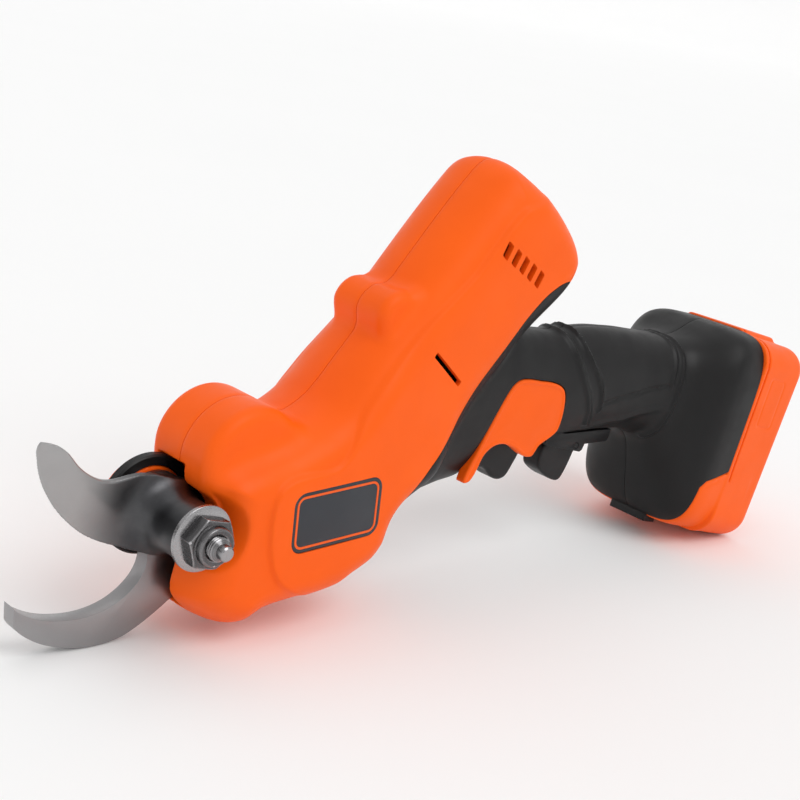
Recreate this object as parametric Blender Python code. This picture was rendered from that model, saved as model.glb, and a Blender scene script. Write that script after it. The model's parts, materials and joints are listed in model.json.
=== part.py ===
"""Battery electric pruner: an assembly of named solids, built in millimetres and placed in metres.

The tool frame has its x axis along the handle, pointing from the blades to the battery, its y axis across the
tool, and its z axis up along the foot. The empty "tool" turns that frame until the tool rests on its hook
blade and its battery, with the middle of its footprint at the world's origin.
The body frame (s, q) lies in the same xz plane: s runs up the motor, q runs out of the motor's front.
"""
import math

import bmesh
import bpy
import numpy as np
from mathutils import Matrix, Vector

MM = 0.001
GAP = 0.3  # between pieces that touch
HALF_GAP = 0.15  # from the parting plane to each moulded half

# Driving dimensions, in millimetres and degrees.
BODY_ANGLE = 63.0  # of the motor's axis over the handle's axis
BODY_TOP = 50.5  # q of the straight top edge
BARREL_HALF_WIDTH = 27.5
HEAD_HALF_WIDTH = 31.5
BODY_POWER = 2.2  # squareness of the body's rounded edge
EDGE_REACH = 27.0  # how far the rounded edge of the body reaches in from its outline
WALL = 2.6
PIVOT = (-111.0, -61.0)  # blade pivot, in x and z
BLADE_THICK = 3.0
HOOK_THICK = 7.4
HUB_RADIUS = 12.0
HUB_END = -26.0
BLADE_TRAVEL = 48.0
MESH_DIRECTION = 12.0  # direction from the pivot to the pinion
SECTOR_RADIUS = 42.0
SECTOR_TEETH = 42
PINION_TEETH = 13
CROWN_RADIUS = 20.0
CROWN_TEETH = 40
BEVEL_TEETH = 12
MOTOR_RADIUS = 17.9
FOOT_FACE = 216.0  # x where the foot meets the battery
PACK_END = 259.0
PACK_HALF_WIDTH = 39.5
PACK_LOW = -34.0
PACK_HIGH = 78.0
CELL_RADIUS = 9.1
CELL_LENGTH = 65.0

# One tooth as shares of its step and of its depth.
TOOTH_SHAPE = ((0.0, -0.56), (0.3, -0.56), (0.45, 0.42), (0.63, 0.42), (0.78, -0.56))
TOOTH_MIDDLE = 0.54

SIN_BODY = math.sin(math.radians(BODY_ANGLE))
COS_BODY = math.cos(math.radians(BODY_ANGLE))


def body_point(s, q):
    """The x and z of a point given along and across the motor."""
    return (s * COS_BODY - q * SIN_BODY, s * SIN_BODY + q * COS_BODY)


def body_coords(x, z):
    return (x * COS_BODY + z * SIN_BODY, -x * SIN_BODY + z * COS_BODY)


def polar(centre, radius, degrees):
    turn = math.radians(degrees)
    return (centre[0] + radius * math.cos(turn), centre[1] + radius * math.sin(turn))


def arc(centre, radius, start, end, count):
    return [polar(centre, radius, a) for a in np.linspace(start, end, count)]


DRIVE_CENTRE = polar(PIVOT, SECTOR_RADIUS * (1 + PINION_TEETH / SECTOR_TEETH), MESH_DIRECTION)
DRIVE_S, DRIVE_Q = body_coords(*DRIVE_CENTRE)

# Side outlines, as x and z.
BODY_FRONT = [
    (-106, -46), (-110, -36), (-109.5, -28), (-105, -19.5), (-98, -12.5), (-90, -9.5), (-82, -9.5),
    (-74, -11.5), (-67, -12.5), (-62, -9.5), (-58, -3), (-43.5, 26), (-46, 32), (-46.5, 38),
    (-44, 44.5), (-38.5, 49), (-32, 51.5), (-27.5, 57.5), (-4, 104),
]
MOTOR_END = [
    body_point(*p)
    for p in ((103, 49.5), (107.5, 44), (109.5, 34), (110.5, 20), (110, 6), (108, -7), (103, -17), (93, -23))
]
BODY_REAR = [body_point(*p) for p in ((80, -25), (60, -24), (30, -22), (0, -22), (-15, -25))] + [
    (10, -33), (-1, -42),
]
BODY_BELOW = [
    (-4, -48), (-4.5, -58), (-10, -69), (-20, -77), (-27, -82.5), (-45, -89), (-63, -95),
    (-70, -100.5), (-77, -102), (-85, -100.5), (-97, -96), (-109, -90), (-111, -80), (-108, -62),
]
BODY_OUTLINE = BODY_FRONT + MOTOR_END + BODY_REAR + BODY_BELOW
BODY_SPINE = [(-82, -56), (-58, -52), (-30, -26), (24, 84)]
COLOUR_EDGE = [
    body_point(*p)
    for p in ((92, -40), (87, -13.5), (80, -10), (72, -8.2), (45, -9), (25, -9), (0, -10), (-14, -9.5))
] + [(-8.5, -39), (-6.5, -43), (-1, -60)]
INSERT_OUTLINE = [
    (57, 24.5), (81, 26), (88, 24), (92, 17), (93, 4), (88, -1), (83, -5), (80.5, -10.5), (74, -11),
    (67, -8.5), (58, -7), (51, -9), (46.5, -14), (45, -21), (42.5, -27), (38.5, -28), (41, -14), (48, 13),
    (52, 21.5),
]


# Tools for making solids. Each returns vertices in millimetres and faces.

def triangulated(verts, faces):
    """The same solid with its faces out and its large or bent faces split."""
    mesh = bmesh.new()
    points = [mesh.verts.new(v) for v in verts]
    for face in faces:
        mesh.faces.new([points[i] for i in face])
    bmesh.ops.recalc_face_normals(mesh, faces=mesh.faces[:])
    large = [f for f in mesh.faces if len(f.verts) > 4]
    bmesh.ops.triangulate(mesh, faces=large, ngon_method="EAR_CLIP")
    mesh.verts.index_update()
    result = [tuple(v.co) for v in mesh.verts], [[v.index for v in f.verts] for f in mesh.faces]
    mesh.free()
    return result


def loft(rings):
    """A solid through rings of equal count, closed by a face at each end."""
    count = len(rings[0])
    verts = [tuple(p) for ring in rings for p in ring]
    faces = [list(range(count))[::-1], list(range((len(rings) - 1) * count, len(rings) * count))]
    for r in range(len(rings) - 1):
        for i in range(count):
            j = (i + 1) % count
            faces.append([r * count + i, r * count + j, (r + 1) * count + j, (r + 1) * count + i])
    return triangulated(verts, faces)


def prism(outline, y_from, y_to):
    return loft([[(x, y, z) for x, z in outline] for y in (y_from, y_to)])


def box(x_from, x_to, y_from, y_to, z_from, z_to):
    return prism([(x_from, z_from), (x_to, z_from), (x_to, z_to), (x_from, z_to)], y_from, y_to)


def across(centre, along):
    """Places (along y, radius vector) for turned pieces whose axis is the tool's y axis."""
    return Matrix.Translation((centre[0], along, centre[1])) @ Matrix.Rotation(-math.pi / 2, 4, "X")


def on_body(s, q=None, y=0.0):
    """Places turned pieces whose axis runs up the motor."""
    x, z = body_point(s, DRIVE_Q if q is None else q)
    return Matrix.Translation((x, y, z)) @ Matrix.Rotation(math.radians(90 - BODY_ANGLE), 4, "Y")


def upright(x, y, z):
    return Matrix.Translation((x, y, z))


def turned(place, profile, sides=24):
    """A turned solid: profile is (height, radius) pairs up its outside. A radius of 0 is a closed end."""
    rings = []
    for height, radius in profile:
        rings.append([
            tuple(place @ Vector((radius * math.cos(a), radius * math.sin(a), height)))
            for a in np.linspace(0, math.tau, sides, endpoint=False)
        ])
    return loft(rings)


def ring_solid(place, profile, sides=24):
    """A turned solid around a hole: profile is a closed loop of (height, radius) pairs."""
    verts, faces = [], []
    count = len(profile)
    for k in range(sides):
        a = math.tau * k / sides
        for height, radius in profile:
            verts.append(tuple(place @ Vector((radius * math.cos(a), radius * math.sin(a), height))))
    for k in range(sides):
        n = (k + 1) % sides
        for i in range(count):
            j = (i + 1) % count
            faces.append([k * count + i, k * count + j, n * count + j, n * count + i])
    return triangulated(verts, faces)


def tube(place, low, high, inner, outer, sides=24):
    return ring_solid(place, [(low, inner), (low, outer), (high, outer), (high, inner)], sides)


def toothed(centre, radius, teeth, depth, first=0.0, span=360.0):
    """The outline of a gear, or of part of one, as x and z."""
    points = []
    step = span / teeth
    for k in range(teeth):
        start = first + k * step
        for part, height in TOOTH_SHAPE:
            points.append(polar(centre, radius + height * depth, start + part * step))
    return points


def coil(place, radius, wire, height, turns, sides=6, per_turn=10):
    """A helical spring with plain ends."""
    rings = []
    steps = int(turns * per_turn)
    for k in range(steps + 1):
        a = math.tau * turns * k / steps
        rise = wire + (height - 2 * wire) * k / steps
        centre = Vector((radius * math.cos(a), radius * math.sin(a), rise))
        out = Vector((math.cos(a), math.sin(a), 0))
        ring = []
        for i in range(sides):
            b = math.tau * i / sides
            ring.append(tuple(place @ (centre + wire * (out * math.cos(b) + Vector((0, 0, 1)) * math.sin(b)))))
        rings.append(ring)
    return loft(rings)


# Tools for objects.

def material(name, colour, roughness, metallic=0.0):
    made = bpy.data.materials.new(name)
    made.use_nodes = True
    shader = made.node_tree.nodes["Principled BSDF"]
    shader.inputs["Base Color"].default_value = (*colour, 1.0)
    shader.inputs["Roughness"].default_value = roughness
    shader.inputs["Metallic"].default_value = metallic
    made.diffuse_color = (*colour, 1.0)
    return made


ORANGE = ((1.0, 0.14, 0.013), 0.5)
BLACK = ((0.018, 0.018, 0.02), 0.55)
STEEL = ((0.42, 0.42, 0.43), 0.32, 1.0)
BLUED = ((0.09, 0.09, 0.095), 0.42, 1.0)
BRIGHT = ((0.62, 0.62, 0.64), 0.25, 1.0)
BRONZE = ((0.52, 0.32, 0.13), 0.4, 1.0)
CAST = ((0.3, 0.31, 0.32), 0.55, 1.0)
COPPER = ((0.75, 0.36, 0.2), 0.3, 1.0)
BOARD = ((0.02, 0.12, 0.05), 0.5)
CELL = ((0.05, 0.2, 0.35), 0.45)
CHARCOAL = ((0.035, 0.036, 0.04), 0.45)


def make(name, solid, finish, origin=(0.0, 0.0, 0.0)):
    """An object from a solid in tool millimetres, with its origin at a point of the tool frame."""
    verts, faces = solid
    shift = Vector(origin)
    mesh = bpy.data.meshes.new(name)
    mesh.from_pydata([(Vector(v) - shift) * MM for v in verts], [], faces)
    mesh.materials.append(material(name + "_finish", *finish))
    piece = bpy.data.objects.new(name, mesh)
    bpy.context.scene.collection.objects.link(piece)
    piece.location = shift * MM
    mesh.shade_smooth()
    mesh.set_sharp_from_angle(angle=math.radians(35))
    return piece


def combine(piece, solid, operation):
    """Applies one Boolean between a piece and a solid, then removes the solid."""
    other = make("cutter", solid, BLACK)
    other.hide_render = True
    other.display_type = "WIRE"
    step = piece.modifiers.new("step", "BOOLEAN")
    step.operation = operation
    step.solver = "MANIFOLD"
    step.object = other
    bpy.context.view_layer.update()
    graph = bpy.context.evaluated_depsgraph_get()
    old = piece.data
    new = bpy.data.meshes.new_from_object(piece.evaluated_get(graph))
    piece.modifiers.clear()
    piece.data = new
    new.name = piece.name
    new.materials.clear()
    new.materials.append(old.materials[0])
    bpy.data.objects.remove(other)
    bpy.data.meshes.remove(old)
    clean(new)


def clean(mesh):
    """Merges the hair-thin leftovers of a Boolean."""
    shape = bmesh.new()
    shape.from_mesh(mesh)
    bmesh.ops.remove_doubles(shape, verts=shape.verts[:], dist=0.00002)
    bmesh.ops.dissolve_degenerate(shape, edges=shape.edges[:], dist=0.00001)
    shape.to_mesh(mesh)
    shape.free()
    mesh.update()


def cut(piece, *solids):
    for solid in solids:
        combine(piece, solid, "DIFFERENCE")


def join(piece, *solids):
    for solid in solids:
        combine(piece, solid, "UNION")


# The moulded shells.

# Where the blades leave the housing, and a notch for the tail of the closing blade.
MOUTH = [
    (-140, -46), (-88, -46), (-84, -60), (-84, -82), (-88, -91.7), (-93.8, -98.5), (-100.5, -105.7),
    (-140, -105.7),
]
TAIL_NOTCH = [(-114, -47), (-114, -39.8), (-101, -38), (-98, -47)]
# The seat of each side insert, open below for the fingers.
INSERT_OUTER = [
    (56.7, 25), (81, 26.6), (88.4, 24.4), (92.6, 17), (93.6, 3.8), (88.5, -1.5), (83.6, -5.4), (80.8, -11),
    (80, -40), (36, -40), (38, -28), (40.5, -14), (47.4, 13), (51.6, 22),
]
LEVER_ROOF = 1.8


def toward_spine(point):
    """The unit direction in the side view from an outline point to the middle of the body."""
    here = Vector(point)
    best = None
    for a, b in zip(BODY_SPINE, BODY_SPINE[1:]):
        start, run = Vector(a), Vector(b) - Vector(a)
        share = max(0.0, min(1.0, (here - start).dot(run) / run.dot(run)))
        near = start + run * share
        if best is None or (near - here).length < (best - here).length:
            best = near
    return (best - here).normalized()


def body_half_width(x, z):
    s, _ = body_coords(x, z)
    share = max(0.0, min(1.0, (s + 15) / 45))
    share = share * share * (3 - 2 * share)
    return HEAD_HALF_WIDTH + (BARREL_HALF_WIDTH - HEAD_HALF_WIDTH) * share


def body_half(side, inset, base):
    """Half of the body, pillowed from its outline. inset shrinks it, base is where it starts in y."""
    rings = []
    steps = (0.0, 0.32, 0.62, 0.88, 1.12, 1.35)
    if base != HALF_GAP:
        steps = (None, 0.0, 0.45, 0.88, 1.3)
    for turn in steps:
        ring = []
        for point in BODY_OUTLINE:
            inward = toward_spine(point)
            lean = 0.0 if turn is None else turn
            reach = (EDGE_REACH - inset) * (1 - math.cos(lean) ** (2 / BODY_POWER))
            x, z = Vector(point) + inward * (inset + reach)
            rise = (body_half_width(x, z) - inset - HALF_GAP) * math.sin(lean) ** (2 / BODY_POWER)
            y = base if turn is None else HALF_GAP + rise
            ring.append((x, side * y, z))
        rings.append(ring)
    return loft(rings)


# Sections of the handle and foot: x, low z, high z, half width and squareness.
HANDLE_SECTIONS = [
    (2, -43, 20, 19, 2.6), (15, -39.5, 34, 19, 2.6), (30, -33, 44, 18, 2.6), (42, -29, 46.5, 17.3, 2.6),
    (45, -25, 46.5, 17, 2.6), (50, -12, 46.5, 16.8, 2.6), (62, -9, 46.5, 16.6, 2.5),
    (80, -9, 48.5, 16.6, 2.4), (94, -4, 52, 17, 2.3), (112, 0.5, 56.5, 17.8, 2.3),
    (134, 5.5, 59.5, 18.8, 2.3), (152, 9, 60.5, 19.6, 2.4), (163, 8, 62, 22, 2.6), (170, 0, 65, 27, 3.0),
    (176, -14, 66.5, 32.5, 3.4), (184, -26, 70.5, 36.5, 3.8), (193, -32, 74, 38.8, 4.4),
    (203, -34, 76, 39.5, 4.8), (FOOT_FACE, -34, 77, 39.5, 5.0),
]


def handle_half(side, inset, base, count=9):
    """Half of the handle and foot, lofted along x."""
    rings = []
    last = len(HANDLE_SECTIONS) - 1
    for index, (x, low, high, half, power) in enumerate(HANDLE_SECTIONS):
        x += inset if index == 0 else -inset if index == last else 0
        middle, rise, reach = (low + high) / 2, (high - low) / 2 - inset, half - inset
        ring = [(x, side * base, middle + rise)] if base != HALF_GAP else []
        for turn in np.linspace(0, math.pi, count):
            across_share = abs(math.sin(turn)) ** (2 / power)
            up_share = math.copysign(abs(math.cos(turn)) ** (2 / power), math.cos(turn))
            ring.append((x, side * (HALF_GAP + (reach - HALF_GAP) * across_share), middle + rise * up_share))
        if base != HALF_GAP:
            ring.append((x, side * base, middle - rise))
        rings.append(ring)
    return loft(rings)


def colour_region(front, shift):
    """A wide prism on one side of the line where the orange housing meets the black grip."""
    edge = [(x + shift * SIN_BODY, z - shift * COS_BODY) for x, z in COLOUR_EDGE]
    if front:
        far = [(-1, -130), (-160, -160), (-160, 160), (90, 160)]
        return prism(edge + far, -60, 60)
    far = [(60, -60), (90, 20), (80, 85)]
    return prism(edge + far, -60, 60)


def solid_of(piece):
    """A piece's own mesh as a solid again, so that it can cut another."""
    scale = 1 / MM
    verts = [tuple((v.co + piece.location) * scale) for v in piece.data.vertices]
    faces = [list(f.vertices) for f in piece.data.polygons]
    bpy.data.objects.remove(piece)
    return verts, faces


def disc(centre, y_from, y_to, radius, sides=32):
    low, high = min(y_from, y_to), max(y_from, y_to)
    return turned(across(centre, low), [(0, radius), (high - low, radius)], sides)


def hollow_with(side, *kept):
    """The body's inner space, less the solids that stay as plastic."""
    inner = make("inner", body_half(side, WALL, -1.0), BLACK)
    cut(inner, *kept)
    return solid_of(inner)


def vent_slots(side):
    """Five slanted slots near the motor's end and one single slot lower down."""
    slots = []
    for k in range(5):
        s, q = 76.5 - 1.2 * k, 27.0 - 7.0 * k
        corners = [(s - 5.5, q + 2.4), (s - 5.5, q - 1.2), (s + 5.5, q - 2.4), (s + 5.5, q + 1.2)]
        slots.append(prism([body_point(*c) for c in corners], side * 14, side * 40))
    corners = [(18.2, 28.7), (15.6, 28.7), (15.6, 6.3), (18.2, 6.3)]
    slots.append(prism([body_point(*c) for c in corners], side * 14, side * 40))
    return slots


def build_housing_left():
    """The far orange half, with the boss that carries the pivot bolt's head."""
    piece = make("housing_left", body_half(1, 0.0, HALF_GAP), ORANGE)
    cut(piece, hollow_with(1, disc(PIVOT, 8.7, 60, 23.6)))
    cut(piece, colour_region(False, 0.0), prism(MOUTH, -1.0, 8.5), disc(PIVOT, -1, 14.2, 21.6))
    join(piece, turned(across(PIVOT, 8.7), [(0, 16.4), (5.0, 16.4), (5.0, 20.4), (9.5, 20.4)], 32))
    cut(piece, disc(PIVOT, 5, 30, 5.3, 20), disc(PIVOT, 18.0, 60, 12.5, 24), *vent_slots(1))
    return piece


def build_housing_right():
    """The near orange half, with the channel for the hub and the recess round the nut."""
    piece = make("housing_right", body_half(-1, 0.0, HALF_GAP), ORANGE)
    cut(piece, hollow_with(-1, disc(PIVOT, -60, -8.0, 16.6), disc(PIVOT, -60, -16.5, 23.6)))
    cut(piece, colour_region(False, 0.0), prism(MOUTH, 1.0, -8.0), prism(TAIL_NOTCH, 1.0, -4.0))
    cut(piece, disc(PIVOT, -60, -2.0, 14.2), disc(PIVOT, -60, -19.0, 21.2), *vent_slots(-1))
    return piece


def build_grip(side, name):
    """One black half: the rear of the body, the handle and the foot."""
    piece = make(name, body_half(side, 0.0, HALF_GAP), BLACK)
    join(piece, handle_half(side, 0.0, HALF_GAP))
    cut(piece, colour_region(True, GAP))
    cut(piece, body_half(side, WALL, -1.0), handle_half(side, WALL, -1.0))
    cut(piece, prism(INSERT_OUTER, side * 11.7, side * 30))
    cut(piece, box(53.5, 87.5, -6.6, 6.6, -40, 6), box(98.5, 147.5, -8.3, 8.3, -20, LEVER_ROOF))
    cut(piece, box(190.7, 230, -60, 60, -60, -3.7), box(199.4, 230, -26.6, 26.6, -60, 61.5))
    return piece


def build_inserts():
    for side, name in ((1, "insert_left"), (-1, "insert_right")):
        outer = [(x, side * y, z) for y in (12.0, 16.6) for x, z in INSERT_OUTLINE]
        count = len(INSERT_OUTLINE)
        middle = Vector((68, 0, 8))
        crown = []
        for x, z in INSERT_OUTLINE:
            step = (middle - Vector((x, 0, z))).normalized() * 1.0
            crown.append((x + step.x, side * 17.4, z + step.z))
        rings = [outer[:count], outer[count:], crown]
        make(name, loft(rings), ORANGE)


# The cutting head.

BLADE_OUTLINE = (
    [(-176, -40.5), (-174.7, -45), (-171, -52.3), (-164.5, -60), (-156.6, -66.3), (-146, -72), (-138, -74.3),
     (-130, -75.4), (-120.6, -75.4)]
    + arc(PIVOT, 14.2, 265, 300, 4) + [(-94, -73), (-89.5, -79), (-82.5, -76), (-82, -58), (-90, -52)]
    + arc(PIVOT, 14.2, 45, 100, 6)
    + [(-121, -45.2), (-129, -45.6), (-139.6, -49.2), (-146, -49.6), (-153, -47.5), (-158, -44.8), (-163, -41),
       (-168, -38.8), (-175.3, -38.4)]
)
HOOK_OUTLINE = (
    [(-169.5, -104.5), (-168.8, -107.5), (-163.7, -112), (-156.3, -115.5), (-146.7, -118.4), (-135, -119.2),
     (-123.5, -118.3), (-111.2, -113.6), (-101, -105), (-94.3, -97.8), (-88.5, -91)]
    + [(-81, -84), (-79.5, -66), (-81, -53), (-92, -47.5)]
    + arc(PIVOT, 15.5, 60, 190, 8)
    + [(-122, -71), (-113.6, -76), (-110.8, -81), (-110.8, -87), (-113.8, -93.8), (-120.9, -101),
       (-131.5, -106), (-143, -108), (-156, -107), (-163, -104.8), (-167, -102.6)]
)


def build_blades():
    origin = (PIVOT[0], 0.0, PIVOT[1])
    blade = make("cutting_blade", prism(BLADE_OUTLINE, -0.2 - BLADE_THICK, -0.2), STEEL, origin)
    cut(blade, disc(PIVOT, -10, 10, 5.6, 20))
    hub = tube(across(PIVOT, HUB_END), 0, -HUB_END - 3.5, 5.6, HUB_RADIUS, 32)
    make("blade_hub", hub, BLUED, origin)
    sector_step = 360 / SECTOR_TEETH
    first = MESH_DIRECTION - 6 * sector_step - TOOTH_MIDDLE * sector_step
    rim = toothed(PIVOT, SECTOR_RADIUS, 7, 4.0, first, 7 * sector_step)
    back = arc(PIVOT, 22.5, first + 7 * sector_step, first, 9)
    sector = prism(rim + back, -7.2, -3.5)
    make("sector_gear", sector, STEEL, origin)
    hook = make("hook_blade", prism(HOOK_OUTLINE, 0.2, 0.2 + HOOK_THICK), STEEL)
    cut(hook, disc(PIVOT, -10, 20, 5.3, 20))


def build_pivot():
    bolt = [(-44.5, 2.6), (-43.9, 3.2), (-40.6, 3.2), (-40.0, 4.85), (18.3, 4.85), (18.3, 9.5), (22.6, 9.5),
            (23.4, 8.4)]
    make("pivot_bolt", turned(across(PIVOT, 0), bolt, 20), BRIGHT)
    make("pivot_washer", tube(across(PIVOT, -28.4), 0, 2.1, 5.2, 13.6, 32), BRIGHT)
    nut = prism(arc(PIVOT, 11.3, 0, 300, 6), -34.9, -28.7)
    piece = make("pivot_nut", nut, BRIGHT)
    join(piece, turned(across(PIVOT, -38.0), [(0, 7.0), (0.8, 7.9), (4, 8.4)], 20))
    cut(piece, disc(PIVOT, -60, 0, 5.2, 20))
    make("pivot_ring", tube(across(PIVOT, 8.9), 0, 4.4, 16.8, 21.2, 32), BLACK)


# The drive inside the housing.

def build_drive():
    origin = (DRIVE_CENTRE[0], 0.0, DRIVE_CENTRE[1])
    shaft = [(-16.0, 3.4), (15.0, 3.4)]
    make("cross_shaft", turned(across(DRIVE_CENTRE, 0), shaft, 14), STEEL, origin)
    step = 360 / PINION_TEETH
    first = MESH_DIRECTION + 180 - (0.5 + TOOTH_MIDDLE) * step
    outline = toothed(DRIVE_CENTRE, SECTOR_RADIUS * PINION_TEETH / SECTOR_TEETH, PINION_TEETH, 4.0, first)
    pinion = make("drive_pinion", prism(outline, -7.6, -3.1), STEEL, origin)
    cut(pinion, disc(DRIVE_CENTRE, -20, 20, 3.7, 14))
    crown_rim = toothed(DRIVE_CENTRE, CROWN_RADIUS - 0.6, CROWN_TEETH // 2, 1.6)
    crown = make("crown_wheel", prism(crown_rim, 6.5, 10.5),
                 BRONZE, origin)
    cut(crown, disc(DRIVE_CENTRE, -20, 20, 3.7, 14))
    make("bearing_near", tube(across(DRIVE_CENTRE, -15.5), 0, 5, 3.7, 9.0, 20), BRIGHT)
    make("bearing_far", tube(across(DRIVE_CENTRE, 11.0), 0, 3.5, 3.7, 9.0, 20), BRIGHT)
    x, z = DRIVE_CENTRE
    frame = prism([(x - 18, z - 24), (x + 22, z - 20), (x + 24, z + 20), (x - 16, z + 24)], 15.3, 18.0)
    make("gear_frame", frame, CAST)
    bevel_place = body_point(-50, DRIVE_Q)
    bevel_origin = (bevel_place[0], 0.0, bevel_place[1])
    bevel = [(-54.3, 3.4), (-54.3, 5.6), (-47.5, 5.9), (-47.0, 3.2), (-41.4, 3.2)]
    make("bevel_pinion", turned(on_body(0), bevel, 14), STEEL, bevel_origin)
    gearbox = [(-41, 9), (-39, 16), (-37, 18.3), (-4, 18.3)]
    make("gearbox_case", turned(on_body(0), gearbox, 24), CAST)
    make("motor_can", turned(on_body(0), [(-3.6, 16.5), (-2.6, MOTOR_RADIUS), (53.0, MOTOR_RADIUS)], 24), STEEL)
    make("motor_cap", turned(on_body(0), [(53.3, MOTOR_RADIUS - 0.6), (58.5, 16.5), (60, 12)], 24), BLACK)
    fan_place = body_point(66, DRIVE_Q)
    fan_origin = (fan_place[0], 0.0, fan_place[1])
    make("motor_shaft", turned(on_body(0), [(60.3, 2.4), (74.0, 2.4)], 12), STEEL, fan_origin)
    fan = make("cooling_fan", tube(on_body(0), 61.5, 63.5, 2.7, 15.5, 24), BLACK, fan_origin)
    for k in range(8):
        turn = Matrix.Rotation(math.tau * k / 8, 4, "Z")
        corners = [(5, -0.6), (15, 1.0), (15, 2.2), (5, 0.6)]
        low, high = ([tuple(on_body(0) @ turn @ Vector((cx, cy, h))) for cx, cy in corners] for h in (63, 70.5))
        join(fan, loft([low, high]))


# Electronics, trigger and lever.

def build_electronics():
    board = [body_point(*p) for p in ((-22, 2.0), (46, 2.0), (46, 3.6), (-22, 3.6))]
    make("control_board", prism(board, -16, 16), BOARD)
    make("capacitor", turned(on_body(-18, -3.2), [(0, 4.6), (16, 4.6)], 16), CHARCOAL)
    make("switch_body", box(57, 92, -9.5, 9.5, 12.5, 31), BLACK)
    make("terminal_block", box(187, 198.6, -15, 15, 18, 44), BLACK)
    for k, y in enumerate((-8.0, 8.0)):
        make(f"terminal_blade_{k + 1}", box(198.9, 207, y - 0.4, y + 0.4, 22, 40), COPPER)


TRIGGER_OUTLINE = [
    (55, 5), (55, -20), (57.5, -22.5), (62, -22.3), (66, -23.5), (70, -25.8), (76, -27), (80.5, -25),
    (83, -19), (86, -8), (86, 5),
]
LEVER_PIN = (123.5, -3.4)


def build_trigger():
    outer = [[(x, y, z) for x, z in TRIGGER_OUTLINE] for y in (-5.9, 5.9)]
    trigger = make("trigger", loft(outer), BLACK)
    cut(trigger, turned(upright(70, 0, -1.0), [(0, 4.4), (10, 4.4)], 16))
    make("trigger_spring", coil(upright(70, 0, -0.7), 3.2, 0.4, 13.0, 5), BRIGHT, (70, 0, -0.7))
    bracket = make("lever_bracket", box(99, 147, -8, 8, -6.0, 1.5), BLACK)
    cut(bracket, box(95, 127.5, -5.9, 5.9, -12, -0.9), box(128, 150, -20, 20, -20, -2.2))
    cut(bracket, disc(LEVER_PIN, -20, 20, 1.8, 12))
    origin = (LEVER_PIN[0], 0.0, LEVER_PIN[1])
    outline = [(102.5, -16.5), (105.5, -19.5), (120, -23.2), (123, -21.5), (126.2, -8), (126.5, -3.4),
               (125, -1.5), (121, -1.5), (102.5, -6)]
    lever = make("lockoff_lever", prism(outline, -5.5, 5.5), BLACK, origin)
    cut(lever, disc(LEVER_PIN, -20, 20, 1.8, 12))
    cut(lever, turned(upright(108, 0, -9.5), [(0, 2.6), (16, 2.6)], 12))
    make("lever_pin", turned(across(LEVER_PIN, -7.9), [(0, 1.5), (15.8, 1.5)], 12), STEEL)
    make("lever_spring", coil(upright(108, 0, -9.2), 1.9, 0.3, 8.0, 4, 6, 8), BRIGHT)


# Each case screw's place in the side view, and the far half that it sinks into.
SCREWS = [
    (body_point(88, 38), "housing_left"), (body_point(88, 2), "housing_left"),
    (body_point(30, -4), "housing_left"), (body_point(-42, -2), "housing_left"),
    ((118, 28), "grip_left"), ((156, 34), "grip_left"),
]


def build_screws():
    """Housing screws, let into the far half from its outside."""
    for k, ((x, z), half) in enumerate(SCREWS):
        shell = bpy.data.objects[half]
        near = surface_height(shell, x, z)
        head = near - 1.6
        make(f"case_screw_{k + 1}",
             turned(across((x, z), head), [(-14, 1.3), (-2.0, 1.3), (-2.0, 3.0), (0, 3.0)], 12), BRIGHT)
        cut(shell, disc((x, z), head - 2.3, head + 30, 3.4, 16), disc((x, z), head - 30, head, 1.6, 12))


def surface_height(shell, x, z):
    """How far out in y the outer face of a left shell is at a point of the side view."""
    start = Vector((x, 100, z)) * MM
    found, where, _, _ = shell.ray_cast(start, Vector((0, -1, 0)))
    return where.y / MM


BADGE_CENTRE = (-48.5, -44.8)
BADGE_HALF_SIZE = (23.4, 12.9)
BADGE_CORNER = 5.5
BADGE_TILT = math.radians(16.0)


def build_badges():
    """A plain rounded plate on each side of the head, standing just proud of the shell."""
    corners = []
    flat_x, flat_z = (half - BADGE_CORNER for half in BADGE_HALF_SIZE)
    for cx, cz, start in ((1, 1, 0), (-1, 1, 90), (-1, -1, 180), (1, -1, 270)):
        corners += arc((cx * flat_x, cz * flat_z), BADGE_CORNER, start, start + 90, 4)
    outline = [
        (BADGE_CENTRE[0] + x * math.cos(BADGE_TILT) - z * math.sin(BADGE_TILT),
         BADGE_CENTRE[1] + x * math.sin(BADGE_TILT) + z * math.cos(BADGE_TILT))
        for x, z in corners
    ]
    for side, shell, name in ((1, "housing_left", "badge_left"), (-1, "housing_right", "badge_right")):
        housing = bpy.data.objects[shell]
        join(housing, prism(grown(outline, BADGE_CENTRE, 1.14), side * 27.5, side * 32.2))
        cut(housing, prism(grown(outline, BADGE_CENTRE, 1.02), side * 31.2, side * 40))
        make(name, prism(outline, side * 31.5, side * 32.6), CHARCOAL)


def grown(outline, centre, scale):
    return [(centre[0] + (x - centre[0]) * scale, centre[1] + (z - centre[1]) * scale) for x, z in outline]


# The battery pack.

def rounded_section(x, low, high, half, corner, count=4):
    """A rounded rectangle across the handle's axis."""
    points = []
    for cy, cz, start in ((1, 1, 0), (-1, 1, 90), (-1, -1, 180), (1, -1, 270)):
        centre = (cy * (half - corner), (high + low) / 2 + cz * ((high - low) / 2 - corner))
        points += arc(centre, corner, start, start + 90, count)
    return [(x, y, z) for y, z in points]


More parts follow.
